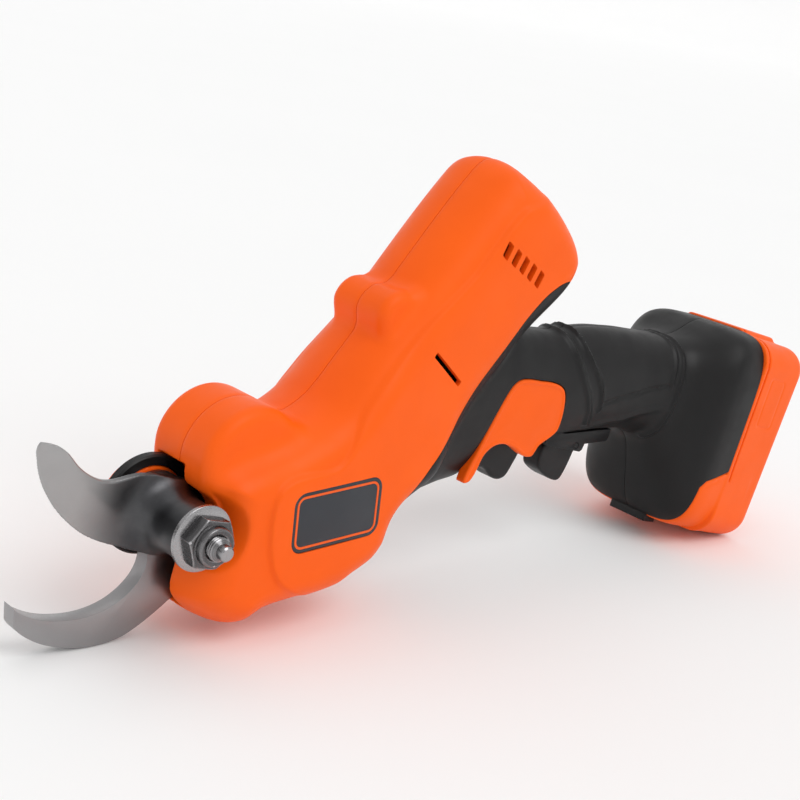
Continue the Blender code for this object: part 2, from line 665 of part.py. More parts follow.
def build_pack():
    low, high, half = PACK_LOW, PACK_HIGH, PACK_HALF_WIDTH
    shape = [(216.3, 0.4, 13), (222, 0, 13), (250, 0.6, 13), (256, 2.4, 12), (PACK_END, 6.0, 9)]
    case = make("pack_case", loft([
        rounded_section(x, low + inset, high - inset, half - inset, corner) for x, inset, corner in shape
    ]), ORANGE)
    block = loft([rounded_section(x, low + inset, -4.0, half - inset, 9)
                  for x, inset in ((191, 1.2), (193, 0.3), (218, 0.3))])
    join(case, block)
    cut(case, loft([rounded_section(x, low + 2.5, high - 2.5, half - 2.5, 10.5) for x in (210, 253)]))
    cut(case, box(194, 222, -28, 28, -31.3, -6.5))
    cut(case, box(190, 215.9, -50, 50, -4.0, 90))
    cut(case, box(196.5, 207.5, -12.3, 12.3, -40, -28))
    cover = make("pack_cover", loft([rounded_section(x, -3.4, 75, 36.6, 10) for x in (216.6, 219.4)]), BLACK)
    join(cover, box(203.2, 217, -20, 20, -3.0, 60), box(200.2, 203.2, -26, 26, -3.0, 60.8))
    for y in (-8.0, 8.0):
        cut(cover, box(198, 212, y - 1.2, y + 1.2, 15, 70))
    for k in range(5):
        z = PACK_LOW + 13.5 + 2.2 + k * 20.1
        make(f"cell_{k + 1}", turned(across((239.5, z), -CELL_LENGTH / 2), [(0, CELL_RADIUS), (64, CELL_RADIUS),
             (64, 3), (CELL_LENGTH, 3)], 16), CELL)
    make("pack_board", box(221.0, 222.6, -32, 32, -2, 70), BOARD)
    make("pack_button", box(197, 207, -11.8, 11.8, -36.4, -29), BLACK)
    make("button_spring", coil(upright(202, 0, -28.7), 3.0, 0.4, 16.0, 5), BRIGHT, (202, 0, -28.7))


# Placing the tool.

def lowest(points, pitch, front):
    """The lowest height of one end of the tool at a pitch."""
    heights = -points[:, 0] * math.sin(pitch) + points[:, 2] * math.cos(pitch)
    end = points[:, 0] < -0.08 if front else points[:, 0] > 0.1
    return heights[end].min()


def rest_on_floor(pieces):
    """Parents every piece to one empty, pitched until blade and battery touch the floor together."""
    points = np.array([tuple(p.location + v.co) for p in pieces for v in p.data.vertices])
    low, high = 0.0, math.radians(30)
    for _ in range(40):
        pitch = (low + high) / 2
        if lowest(points, pitch, True) < lowest(points, pitch, False):
            low = pitch
        else:
            high = pitch
    tool = bpy.data.objects.new("tool", None)
    bpy.context.scene.collection.objects.link(tool)
    turn = Matrix.Rotation(pitch, 3, "Y")
    placed = points @ np.array(turn).T
    low_corner, high_corner = placed.min(axis=0), placed.max(axis=0)
    middle = (low_corner + high_corner) / 2
    tool.rotation_euler = (0, pitch, 0)
    tool.location = (-middle[0], -middle[1], -low_corner[2])
    for piece in pieces:
        piece.parent = tool


def main():
    for old in list(bpy.data.objects):
        bpy.data.objects.remove(old)
    build_housing_left()
    build_housing_right()
    build_grip(1, "grip_left")
    build_grip(-1, "grip_right")
    build_inserts()
    build_badges()
    build_blades()
    build_pivot()
    build_drive()
    build_electronics()
    build_trigger()
    build_screws()
    build_pack()
    rest_on_floor(list(bpy.data.objects))
    bpy.context.view_layer.update()


main()
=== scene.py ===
"""The looks of a battery electric pruner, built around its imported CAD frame.

Shapes are made in the tool's own frame, in millimetres: x runs along the handle from the blades to the
battery, y across the tool, and z up along the battery foot. TOOL carries them to the row frame. The moulded
shells are level surfaces of distance-like fields, so that their humps, panel, dish and ridges flow into each
other.
"""

import json
import math

import bmesh
import bpy
import numpy as np
from mathutils import Matrix, Vector


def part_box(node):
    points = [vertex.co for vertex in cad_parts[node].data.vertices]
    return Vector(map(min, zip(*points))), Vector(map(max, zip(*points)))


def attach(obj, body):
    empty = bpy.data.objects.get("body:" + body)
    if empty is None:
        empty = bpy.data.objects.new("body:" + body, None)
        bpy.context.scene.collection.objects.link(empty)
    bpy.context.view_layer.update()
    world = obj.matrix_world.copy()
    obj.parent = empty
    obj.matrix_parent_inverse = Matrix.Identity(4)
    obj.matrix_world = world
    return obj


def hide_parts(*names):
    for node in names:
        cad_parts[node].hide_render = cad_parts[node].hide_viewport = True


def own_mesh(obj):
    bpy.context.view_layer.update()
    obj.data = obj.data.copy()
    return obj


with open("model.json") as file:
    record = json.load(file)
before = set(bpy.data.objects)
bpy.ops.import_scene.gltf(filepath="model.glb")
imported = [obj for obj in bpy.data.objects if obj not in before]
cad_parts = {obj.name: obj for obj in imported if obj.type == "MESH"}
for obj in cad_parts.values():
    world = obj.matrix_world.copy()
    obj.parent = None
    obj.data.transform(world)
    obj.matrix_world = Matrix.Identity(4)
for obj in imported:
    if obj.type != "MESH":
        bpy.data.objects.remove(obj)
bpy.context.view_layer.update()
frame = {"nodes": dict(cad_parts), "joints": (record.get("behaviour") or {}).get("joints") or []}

MM = 0.001
FAR = 1e9
REACH = 300  # a cutter this long passes through everything
TINY = 1e-9  # keeps a power of 0 away from 0

# Sizes in millimetres.
WALL = 2.4
GAP = 0.03  # from the parting plane to each half
SEAM_DEPTH, SEAM_WIDTH = 0.45, 0.75  # the groove where the halves meet
SEAM_SLOT, SEAM_CUT = 0.14, 0.9  # half width and depth of the dark slot in it
SHELL_STEP, INNER_STEP = 0.8, 1.6  # the level surfaces' cells
PIVOT = (-111.0, -61.0)
PIVOT_CENTRE = (PIVOT[0], 0, PIVOT[1])
RING_MIDDLE = 11.1  # the pivot ring's y
BODY_ANGLE = math.radians(63.0)
COS_BODY, SIN_BODY = math.cos(BODY_ANGLE), math.sin(BODY_ANGLE)
BODY_POWER = 2.2
PANEL_RISE, PANEL_EDGE = 1.7, 2.4
CROWN = 0.0009
FOOT_FACE = 216.0
PACK_END = 259.0
PACK_INSET, PACK_LEAN, PACK_TOP = 2.2, 0.05, 77


def body_point(s, q):
    """The x and z of a point given along and across the motor."""
    return s * COS_BODY - q * SIN_BODY, s * SIN_BODY + q * COS_BODY


def body_points(*pairs):
    return [body_point(s, q) for s, q in pairs]


def body_coords(x, z):
    """How far a point is along and across the motor."""
    return x * COS_BODY + z * SIN_BODY, -x * SIN_BODY + z * COS_BODY


def tool_matrix():
    """From tool millimetres to the row frame, read from two joints of the record."""
    joints = {joint["name"]: joint for joint in frame["joints"]}
    up = -Vector(joints["battery_slide"]["axis"]).normalized()
    side = Vector((0.0, 1.0, 0.0))
    along = side.cross(up)
    turn = Matrix((along, side, up)).transposed()
    pivot = Vector(joints["blade_pivot"]["pos_m"])
    pivot.y = sum(corner.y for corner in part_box("pivot_ring")) / 2 - RING_MIDDLE * MM
    origin = pivot - turn @ Vector(PIVOT_CENTRE) * MM
    return Matrix.Translation(origin) @ turn.to_4x4()


TOOL = tool_matrix()
TOOL_MM = TOOL @ Matrix.Scale(MM, 4)


# Outlines in the side view, as x and z.

BODY_BASE = [
    (-106, -47), (-107.5, -41), (-104.5, -35), (-98, -30), (-90, -26), (-80, -21), (-70, -14),
    (-62.5, -8.5), (-56.5, -2), (-48.7, 12.8), (-38.2, 34.5), (-27.7, 57.2), (-4.7, 103.5),
]
MOTOR_END = body_points(
    (102, 49), (106.5, 43.5), (109, 34), (110.5, 20), (110.5, 6), (109, -7), (104.5, -17), (94, -23),
)
BODY_REAR = body_points((80, -25), (60, -24), (30, -22), (0, -22), (-15, -25))
BODY_BELOW = [
    (10, -33), (-1, -42), (-4, -48), (-4.5, -58), (-10, -69), (-20, -77), (-27, -82.5), (-45, -89),
    (-63, -95), (-70, -100.5), (-77, -102), (-85, -100.5), (-95, -96.5), (-103, -90.5), (-105, -80),
    (-105, -62),
]
HEAD_HUMP = [
    (-106, -47), (-111, -37), (-111, -27.5), (-106.5, -18), (-99, -11.5), (-90.5, -8.6), (-82, -9),
    (-74.5, -11.8), (-67, -15.5), (-60, -24), (-62, -40), (-80, -52),
]
MID_HUMP = [
    (-38.9, 27.1), (-42, 32.1), (-44.2, 37.7), (-42.6, 43.6), (-38, 48.2), (-31.5, 50), (-25, 52),
    (-20, 46), (-24, 30), (-34, 22),
]
SIDE_PANEL = body_points(
    (97, 32), (90.8, 36), (54.9, 35.8), (25.4, 39.2), (-1, 40.8), (-24, 40.5),
) + [
    (-50, -15.8), (-55, -25), (-65, -29), (-75, -32.4), (-81, -37), (-83, -43.5), (-81, -55), (-76, -67),
    (-68, -76), (-40, -84), (10, -70), (60, -10), (110, 60), (70, 118), (38, 112),
]
MOUTH = [
    (-140, -46.5), (-88, -46.5), (-84, -60), (-84, -82), (-88, -91.7), (-93.8, -98.5), (-100.5, -105.7),
    (-140, -110),
]
TAIL_NOTCH = [(-114, -48), (-114, -39.6), (-101, -37.8), (-97, -48)]
COLOUR_EDGE = body_points(
    (94, -40), (89, -12), (81, -7), (72, -5), (45, -5.6), (25, -5.8), (0, -7.5), (-14, -8),
) + [(-8.5, -39), (-6.5, -43), (-1, -60)]
FOOT_EDGE = [(FOOT_FACE, 90), (FOOT_FACE, 3.5), (199.5, -3.6), (196.6, -7.8), (196.6, -60)]
HANDLE_SECTIONS = [
    # x, bottom, top, half width, superellipse power
    (2, -43, 20, 19, 2.6), (15, -39.5, 34, 19, 2.6), (30, -33, 44, 18, 2.6), (42, -29, 46.5, 17.3, 2.6),
    (46, -23, 46.5, 17, 2.6), (51, -12, 46.5, 16.8, 2.6), (62, -9, 46.5, 16.6, 2.5),
    (80, -9, 48.5, 16.6, 2.4), (94, -4, 52, 17, 2.3), (112, 0.5, 56.0, 17.8, 2.3),
    (134, 5.5, 58.7, 18.6, 2.3), (153, 9, 60, 19.3, 2.4), (166, 8.5, 60.8, 20.2, 2.5),
    (173.5, 4, 61.6, 21.8, 2.7), (179.5, -6, 63.2, 25, 3.1), (185.5, -19.5, 66.2, 31, 3.6),
    (191.5, -29, 70.6, 36.2, 4.2), (197.5, -33.2, 74.2, 38.8, 4.8), (204, -34, 75.6, 39.5, 5.0),
    (222, -34, 76.4, 39.5, 5.2),
]
INSERT_OUTLINE = [
    (57, 24.5), (70, 25.6), (81, 26), (88, 24), (92, 17), (93, 4), (88, -1), (83, -5), (80.5, -10.5),
    (74, -11), (67, -8.5), (58, -7), (51, -9), (46.5, -14), (45, -21), (42.5, -27), (38.5, -28), (41, -14),
    (48, 13), (52, 21.5),
]


def smooth_loop(points, spans=6):
    """A closed curve through the points: each span is the cubic through its four nearest points."""
    points = np.array(points, float)
    curve = []
    for i in range(len(points)):
        p = [points[(i + k) % len(points)] for k in (-1, 0, 1, 2)]
        t = [0.0]
        for a, b in zip(p, p[1:]):
            t.append(t[-1] + max(1e-6, math.sqrt(math.dist(a, b))))
        for u in np.linspace(t[1], t[2], spans, endpoint=False):
            level = p
            for width in (1, 2, 3):
                shares = [(u - t[k]) / (t[k + width] - t[k]) for k in range(4 - width)]
                level = [a * (1 - share) + b * share for a, b, share in zip(level, level[1:], shares)]
            curve.append(level[0])
    return np.array(curve)


def smooth_open(points, spans=4):
    """An open curve through the points."""
    curve = smooth_loop(points, spans)
    return [tuple(p) for p in curve[:(len(points) - 1) * spans + 1]]


def dense_outline(*runs):
    """Joins open runs of points: each run is smooth, and the corners between them stay."""
    return [point for run in runs for point in smooth_open(run)]


def rounded_corners(half_u, half_v, corner, count):
    """The outline of a rectangle with round corners, about its middle."""
    return [(cu * (half_u - corner) + corner * math.cos(a), cv * (half_v - corner) + corner * math.sin(a))
            for cu, cv, start in ((1, 1, 0), (-1, 1, 90), (-1, -1, 180), (1, -1, 270))
            for a in np.radians(np.linspace(start, start + 90, count))]


# Distance fields. Negative is inside.

def squared_distance(u, v, start, end):
    """The squared distance of points from a line segment."""
    du, dv = end[0] - start[0], end[1] - start[1]
    share = np.clip(((u - start[0]) * du + (v - start[1]) * dv) / (du * du + dv * dv + 1e-12), 0, 1)
    return (u - start[0] - share * du) ** 2 + (v - start[1] - share * dv) ** 2


def sampled(outline, step=0.75, margin=14.0):
    """The signed distance to a closed outline, as a function of x and z that looks it up in a grid."""
    outline = np.array(outline, float)
    low = outline.min(0) - margin
    count = np.ceil((outline.max(0) + margin - low) / step).astype(int) + 1
    xs, zs = np.ix_(*(low[k] + step * np.arange(count[k]) for k in (0, 1)))
    nearest = FAR
    inside = np.zeros(count, bool)
    for (ax, az), (bx, bz) in zip(outline, np.roll(outline, -1, axis=0)):
        nearest = np.minimum(nearest, squared_distance(xs, zs, (ax, az), (bx, bz)))
        if az != bz:
            inside ^= ((az > zs) != (bz > zs)) & (xs < ax + (zs - az) * (bx - ax) / (bz - az))
    grid = np.sqrt(nearest) * np.where(inside, -1, 1)

    def look_up(x, z):
        u = np.clip((x - low[0]) / step, 0, count[0] - 1.001)
        v = np.clip((z - low[1]) / step, 0, count[1] - 1.001)
        i, j = u.astype(int), v.astype(int)
        fu, fv = u - i, v - j
        near = grid[i, j] * (1 - fv) + grid[i, j + 1] * fv
        far = grid[i + 1, j] * (1 - fv) + grid[i + 1, j + 1] * fv
        return near * (1 - fu) + far * fu

    return look_up


def ramp(value, low, high):
    share = np.clip((value - low) / (high - low), 0, 1)
    return share * share * (3 - 2 * share)


def blend(a, b, radius):
    """The union of two solids with a fillet."""
    share = np.clip(0.5 + 0.5 * (b - a) / radius, 0, 1)
    return b + (a - b) * share - radius * share * (1 - share)


def carve(a, b, radius):
    """Solid a less solid b, with rounded edges."""
    return -blend(-a, b, radius)


def overlap(a, b, radius):
    """What two solids share, with rounded edges."""
    return -blend(-a, -b, radius)


def superellipse(u, v, power, size):
    return size * ((u ** power + v ** power + TINY) ** (1 / power) - 1)


def pillow(depth, y, reach, half):
    """A solid of a given half thickness that rounds off within reach of its outline."""
    return superellipse(np.clip(1 + depth / reach, 0, None), np.abs(y) / half, BODY_POWER, reach)


def slab(distance, y, low, high, rounding):
    """A distance's solid between two values of y, or of another axis, with rounded edges."""
    a = distance + rounding
    b = np.abs(y - (low + high) / 2) - (high - low) / 2 + rounding
    return np.hypot(np.maximum(a, 0), np.maximum(b, 0)) + np.minimum(np.maximum(a, b), 0) - rounding


def radius_from(centre, x, z):
    return np.hypot(x - centre[0], z - centre[1])


body_outline = sampled(smooth_loop(BODY_BASE + MOTOR_END + BODY_REAR + BODY_BELOW))
head_hump = sampled(smooth_loop(HEAD_HUMP))
mid_hump = sampled(smooth_loop(MID_HUMP))
side_panel = sampled(smooth_loop(SIDE_PANEL))
mouth = sampled(MOUTH)
tail_notch = sampled(TAIL_NOTCH)
SECTION_X = np.arange(0.0, 223.0, 0.5)


def smoothed_sections():
    """The handle's section values along x, with the corners between stations rounded off."""
    stations = np.array(HANDLE_SECTIONS, float)
    kernel = np.exp(-0.5 * (np.arange(-12, 13) / 4.0) ** 2)
    kernel /= kernel.sum()
    table = []
    for column in stations.T[1:]:
        values = np.interp(SECTION_X, stations[:, 0], column)
        table.append(np.convolve(np.pad(values, 12, "edge"), kernel, "valid"))
    return table


SECTIONS = smoothed_sections()


def handle_solid(x, y, z):
    """The handle without its ridges, and each point's angle from the top of its section."""
    low, high, half, power = (np.interp(x, SECTION_X, values) for values in SECTIONS)
    rise = (high - low) / 2
    up, out = (z - (low + high) / 2) / rise, np.abs(y) / half
    return superellipse(np.abs(up), out, power, np.minimum(rise, half)), np.arctan2(out, up)


def body_field(x, y, z):
    """The orange body, whole."""
    s, q = body_coords(x, z)
    barrel = ramp(s, -15, 30)
    raised = PANEL_RISE * ramp(-side_panel(x, z), -PANEL_EDGE / 2, PANEL_EDGE / 2)
    crown = CROWN * ((q - 15) ** 2 * barrel + ((x + 60) ** 2 + (z + 50) ** 2) * 0.5 * (1 - barrel))
    half = 30.5 - 4.0 * barrel + raised - np.minimum(crown, 2.0)
    near_end = ramp(s, 58, 98) * ramp(q, 42, 24)
    reach = 17.5 + 9.5 * barrel - 12.0 * near_end - 7.5 * barrel * ramp(q, 24, 44)
    solid = pillow(body_outline(x, z), y, reach, half + 1.2 * near_end)
    solid = blend(solid, slab(mid_hump(x, z), y, -17.5, 17.5, 4.8), 3.2)
    return blend(solid, slab(head_hump(x, z), y, -19.0, 21.0, 5.5), 5.5) + seam(y)


def seam(y):
    """A small groove where the two halves meet."""
    return SEAM_DEPTH * np.exp(-(y / SEAM_WIDTH) ** 2)


def ridge(x, arc, path, height, width):
    """How far a raised or sunk line stands off the handle. path is x and arc length from the top."""
    nearest = FAR
    for start, end in zip(path, path[1:]):
        nearest = np.minimum(nearest, squared_distance(x, arc, start, end))
    return height * np.exp(-nearest / (width * width))


ARC_RADIUS = 23.0
GRIP_LINES = [
    # path as x and arc length, height, half width
    (((93.2, -1), (93.6, 5), (95, 12), (98.8, 19.5), (104, 26), (109.6, 31), (115, 37), (118.6, 42.5),
      (119.5, 46)), 1.25, 0.95),
    (((84.5, -1), (85, 6), (87.5, 13), (91.2, 20), (96, 27), (101.4, 33), (107, 39), (112.5, 46),
      (115.5, 52)), 1.0, 1.3),
    (((115.5, 52), (121, 55), (142, 52), (161, 45), (169.5, 42)), 0.6, 1.6),
    (((119.5, 43.5), (132, 41.0), (146, 38.0), (165.5, 33.0)), -0.8, 0.8),
    (((166.9, -1), (167.2, 8), (167.8, 20), (167, 33.0)), 0.8, 0.9),
    (((171.2, -1), (171.6, 10), (172.4, 25), (172.2, 38), (170.8, 50), (169, 60)), 1.1, 1.0),
]


def grip_field(x, y, z):
    """The handle and foot with their ridges, blended into the body."""
    handle, angle = handle_solid(x, y, z)
    arc = angle * ARC_RADIUS
    lines = sum(ridge(x, arc, *line) for line in GRIP_LINES)
    handle = handle - lines * ramp(x, 70, 80) * (1 - ramp(np.abs(handle), 4, 8))
    handle = np.maximum(handle, 2.0 - x)
    return blend(body_field(x, y, z), handle + 0.5 * seam(y), 4.0)


def near_field(x, y, z):
    """The orange half nearest the nut: its mouth, hub channel and dished recess."""
    solid = carve(body_field(x, y, z), slab(mouth(x, z), y, -8.3, 60, 0.2), 0.8)
    solid = carve(solid, slab(tail_notch(x, z), y, -4.1, 60, 0.2), 0.6)
    away = radius_from(PIVOT, x, z)
    solid = carve(solid, np.maximum(away - 14.9, y + 2.0), 0.8)
    dish = away - 16.6 - 0.4 * np.clip(-y - 18.5, 0, 20)
    return carve(solid, np.maximum(dish, y + 18.5), 1.0)


def far_field(x, y, z):
    """The orange half behind the hook, with the boss for the bolt's head."""
    solid = carve(body_field(x, y, z), slab(mouth(x, z), y, -60, 8.6, 0.2), 0.8)
    away = radius_from(PIVOT, x, z)
    solid = carve(solid, np.maximum(away - 21.7, y - 14.2), 0.8)
    boss = slab(away - 16.4, y, 8.7, 17.0, 0.5)
    flange = slab(away - 17.4, y, 13.9, 18.4, 1.2)
    return blend(blend(solid, boss, 0.6), flange, 2.0)


# Turning fields into meshes.

def cell_patches():
    """For each pattern of a cell's corners, the surface patch that each of its 12 edges belongs to."""
    def edge_of(axis, corner):
        return axis * 4 + corner[(axis + 1) % 3] * 2 + corner[(axis + 2) % 3]

    table = np.zeros((256, 12), int)
    for code in range(256):
        group = list(range(12))
        for axis in range(3):
            u, v = (axis + 1) % 3, (axis + 2) % 3
            for level in (0, 1):
                ring = []
                for cu, cv in ((0, 0), (1, 0), (1, 1), (0, 1)):
                    corner = [0, 0, 0]
                    corner[axis], corner[u], corner[v] = level, cu, cv
                    ring.append(corner)
                inside = [code >> (4 * c[0] + 2 * c[1] + c[2]) & 1 for c in ring]
                sides = [edge_of(u if k % 2 == 0 else v, ring[k] if k < 2 else ring[(k + 1) % 4])
                         for k in range(4)]
                crossed = [k for k in range(4) if inside[k] != inside[(k + 1) % 4]]
                pairs = [(k - 1, k) for k in range(4) if inside[k]] if len(crossed) == 4 else [crossed]
                for pair in pairs:
                    if len(pair) == 2:
                        kept, gone = group[sides[pair[0]]], group[sides[pair[1]]]
                        group = [kept if g == gone else g for g in group]
        ranks = sorted(set(group))
        table[code] = [ranks.index(g) for g in group]
    return table


CELL_PATCHES = cell_patches()


def level_surface(field, low, high, step):
    """The closed surface where field is zero: a point for each cell's patch, a quad for each crossed edge."""
    axes = [np.arange(a, b + step, step) for a, b in zip(low, high)]
    values = np.array(np.broadcast_to(field(*np.ix_(*axes)), [len(a) for a in axes]), float)
    for axis in range(3):
        layers = np.swapaxes(values, 0, axis)
        for end in (0, -1):
            layers[end] = np.maximum(layers[end], step / 2)
    inside = values < 0
    shape = values.shape
    code = np.zeros([n - 1 for n in shape], int)
    for bit in range(8):
        offset = [bit >> (2 - k) & 1 for k in range(3)]
        corner = tuple(slice(o, n - 1 + o) for o, n in zip(offset, shape))
        code += inside[corner].astype(int) << bit
    strides = np.array([shape[1] * shape[2], shape[2], 1])
    cells, points, flips = [], [], []
    for axis in range(3):
        first, second = [slice(None)] * 3, [slice(None)] * 3
        first[axis], second[axis] = slice(0, -1), slice(1, None)
        first, second = tuple(first), tuple(second)
        index = np.argwhere(inside[first] != inside[second])
        fa, fb = values[first][tuple(index.T)], values[second][tuple(index.T)]
        point = index.astype(float)
        point[:, axis] += fa / (fa - fb)
        u, v = (axis + 1) % 3, (axis + 2) % 3
        ring = []
        for du, dv in ((0, 0), (1, 0), (1, 1), (0, 1)):
            cell = index.copy()
            cell[:, u] -= du
            cell[:, v] -= dv
            patch = CELL_PATCHES[code[tuple(cell.T)], axis * 4 + du * 2 + dv]
            ring.append((cell @ strides) * 12 + patch)
        cells.append(np.stack(ring, axis=1))
        points.append(point)
        flips.append(fa >= 0)
    keys = np.concatenate(cells)
    _, inverse = np.unique(keys.ravel(), return_inverse=True)
    total = np.bincount(inverse)
    verts = [np.bincount(inverse, np.repeat(values, 4)) / total for values in np.concatenate(points).T]
    quads = inverse.reshape(keys.shape)
    quads = np.where(np.concatenate(flips)[:, None], quads[:, ::-1], quads)
    return np.transpose(verts) * step + np.array(low), quads


def new_object(name, data):
    made = bpy.data.objects.new(name, data)
    bpy.context.scene.collection.objects.link(made)
    return made


def solid_from(verts, faces):
    """A working object in tool millimetres."""
    mesh = bpy.data.meshes.new("work")
    mesh.from_pydata([tuple(v) for v in verts], [], [tuple(int(i) for i in f) for f in faces])
    return new_object("work", mesh)


def smooth_solid(field, low, high, step):
    return solid_from(*level_surface(field, low, high, step))


def loft(rings, closed=False):
    """A solid through rings of equal count, capped at both ends or closed into a loop."""
    count, last = len(rings[0]), len(rings) - 1
    faces = [] if closed else [tuple(range(count))[::-1], tuple(range(last * count, (last + 1) * count))]
    for r in range(last + closed):
        here, there = r * count, (r + 1) % (last + 1) * count
        for i in range(count):
            j = (i + 1) % count
            faces.append((here + i, here + j, there + j, there + i))
    made = solid_from([p for ring in rings for p in ring], faces)
    shape = bmesh.new()
    shape.from_mesh(made.data)
    bmesh.ops.recalc_face_normals(shape, faces=shape.faces[:])
    shape.to_mesh(made.data)
    shape.free()
    return made


def prism(outline, y_from, y_to):
    return loft([[(x, y, z) for x, z in outline] for y in (y_from, y_to)])


def box(low, high):
    (x0, y0, z0), (x1, y1, z1) = low, high
    return prism([(x0, z0), (x1, z0), (x1, z1), (x0, z1)], y0, y1)


def turned_point(centre, height, radius, angle):
    """A point of a body of revolution about y through centre."""
    place = Matrix.Translation(centre) @ Matrix.Rotation(-math.pi / 2, 4, "X")
    return tuple(place @ Vector((radius * math.cos(angle), radius * math.sin(angle), height)))


def turned(centre, profile, sides=64):
    """A solid turned about y through centre, from (height, radius) pairs."""
    angles = np.linspace(0, math.tau, sides, endpoint=False)
    return loft([[turned_point(centre, height, radius, a) for a in angles] for height, radius in profile])


def turned_ring(centre, profile, sides=96):
    """A ring turned about y through centre, from a closed loop of (height, radius) pairs."""
    angles = [math.tau * k / sides for k in range(sides)]
    rings = [[turned_point(centre, height, radius, a) for height, radius in profile] for a in angles]
    return loft(rings, closed=True)


def applied(target):
    """Replaces an object's mesh by what its modifiers make of it."""
    bpy.context.view_layer.update()
    graph = bpy.context.evaluated_depsgraph_get()
    old = target.data
    target.data = bpy.data.meshes.new_from_object(target.evaluated_get(graph))
    target.modifiers.clear()
    bpy.data.meshes.remove(old)
    return target


def combine(target, others, operation):
    for other in others:
        step = target.modifiers.new("step", "BOOLEAN")
        step.operation = operation
        step.solver = "MANIFOLD"
        step.object = other
        applied(target)
        bpy.data.objects.remove(other)
    return target


def cut(target, *others):
    return combine(target, others, "DIFFERENCE")


def keep(target, *others):
    return combine(target, others, "INTERSECT")


def join(target, *others):
    return combine(target, others, "UNION")


def bevelled(target, width, angle=30.0):
    step = target.modifiers.new("bevel", "BEVEL")
    step.width = width
    step.segments = 2
    step.limit_method = "ANGLE"
    step.angle_limit = math.radians(angle)
    step.use_clamp_overlap = True
    return applied(target)


def cross_over(target):
    """Moves a solid to the other side of the parting plane."""
    target.data.transform(Matrix.Scale(-1, 4, Vector((0, 1, 0))))
    target.data.flip_normals()
    return target


def mirrored(target):
    """A copy on the other side of the parting plane."""
    return cross_over(new_object("work", target.data.copy()))


def finish_piece(work, name, surface, replaced=(), sharp=38.0, body="tool_body"):
    """Carries a working object to the row frame, as a named piece that rides on a body."""
    mesh = work.data
    mesh.transform(TOOL_MM)
    mesh.name = work.name = name
    mesh.materials.clear()
    mesh.materials.append(surface)
    mesh.polygons.foreach_set("material_index", [0] * len(mesh.polygons))
    mesh.shade_smooth()
    mesh.set_sharp_from_angle(angle=math.radians(sharp))
    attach(work, body)
    if replaced:
        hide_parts(*replaced)


# Materials.

class Nodes:
    """Builds one node tree, with its shader ready."""

    def __init__(self, name, colour, roughness, metallic=0.0):
        self.material = bpy.data.materials.new(name)
        self.material.use_nodes = True
        self.tree = self.material.node_tree
        self.shader = self.tree.nodes["Principled BSDF"]
        self.surface((*colour, 1), roughness)
        self.shader.inputs["Metallic"].default_value = metallic
        self.place = self.add("ShaderNodeTexCoord").outputs["Object"]

    def add(self, kind, **inputs):
        node = self.tree.nodes.new(kind)
        for key, value in inputs.items():
            self.feed(node.inputs[key], value)
        return node

    def feed(self, socket, value):
        if isinstance(value, bpy.types.NodeSocket):
            self.tree.links.new(value, socket)
        else:
            socket.default_value = value

    def noise(self, scale, detail, stretch=None):
        place = self.place
        if stretch:
            place = self.add("ShaderNodeMapping", Vector=place, Scale=stretch).outputs["Vector"]
        return self.add("ShaderNodeTexNoise", Vector=place, Scale=scale, Detail=detail).outputs["Fac"]

    def spread(self, value, low, high, to_low=0.0, to_high=1.0, kind="LINEAR"):
        node = self.tree.nodes.new("ShaderNodeMapRange")
        node.interpolation_type = kind
        for key, item in zip(("Value", "From Min", "From Max", "To Min", "To Max"),
                             (value, low, high, to_low, to_high)):
            self.feed(node.inputs[key], item)
        return node.outputs["Result"]

    def math(self, operation, *values, kind="ShaderNodeMath", output="Value"):
        node = self.tree.nodes.new(kind)
        node.operation = operation
        for socket, value in zip(node.inputs, values):
            self.feed(socket, value)
        return node.outputs[output]

    def vector_math(self, operation, *values):
        return self.math(operation, *values, kind="ShaderNodeVectorMath", output="Vector")

    def mix(self, share, a, b):
        node = self.tree.nodes.new("ShaderNodeMix")
        node.data_type = "RGBA"
        self.feed(node.inputs[0], share)
        for socket, value in zip(node.inputs[6:8], (a, b)):
            self.feed(socket, (*value, 1) if isinstance(value, tuple) else value)
        return node.outputs[2]

    def surface(self, colour, roughness):
        self.feed(self.shader.inputs["Base Color"], colour)
        self.feed(self.shader.inputs["Roughness"], roughness)

    def bump(self, height, strength, distance):
        node = self.add("ShaderNodeBump", Height=height, Strength=strength, Distance=distance)
        self.feed(self.shader.inputs["Normal"], node.outputs["Normal"])

    def edges(self, low, high):
        """How convex the surface is."""
        return self.spread(self.add("ShaderNodeNewGeometry").outputs["Pointiness"], low, high)


def scaled(colour, factor):
    return tuple(min(1.0, c * factor) for c in colour)


def plastic(name, colour, roughness, grain, texture, worn=1.25, gloss=0.35):
    """Moulded plastic: a fine spark-eroded texture, slight mottling and rubbed edges."""
    n = Nodes(name, colour, roughness)
    mottle = n.spread(n.noise(38, 3), 0.3, 0.7)
    base = n.mix(mottle, scaled(colour, 0.955), scaled(colour, 1.03))
    wear = n.math("MULTIPLY", n.edges(0.53, 0.6), n.spread(n.noise(260, 4), 0.45, 0.65))
    base = n.mix(n.math("MULTIPLY", wear, 0.35), base, scaled(colour, worn))
    n.surface(base, n.spread(n.noise(95, 5), 0.35, 0.7, roughness - 0.05, roughness + 0.07))
    n.bump(n.noise(texture, 2), grain, 0.00006)
    n.shader.inputs["Specular IOR Level"].default_value = gloss
    return n.material


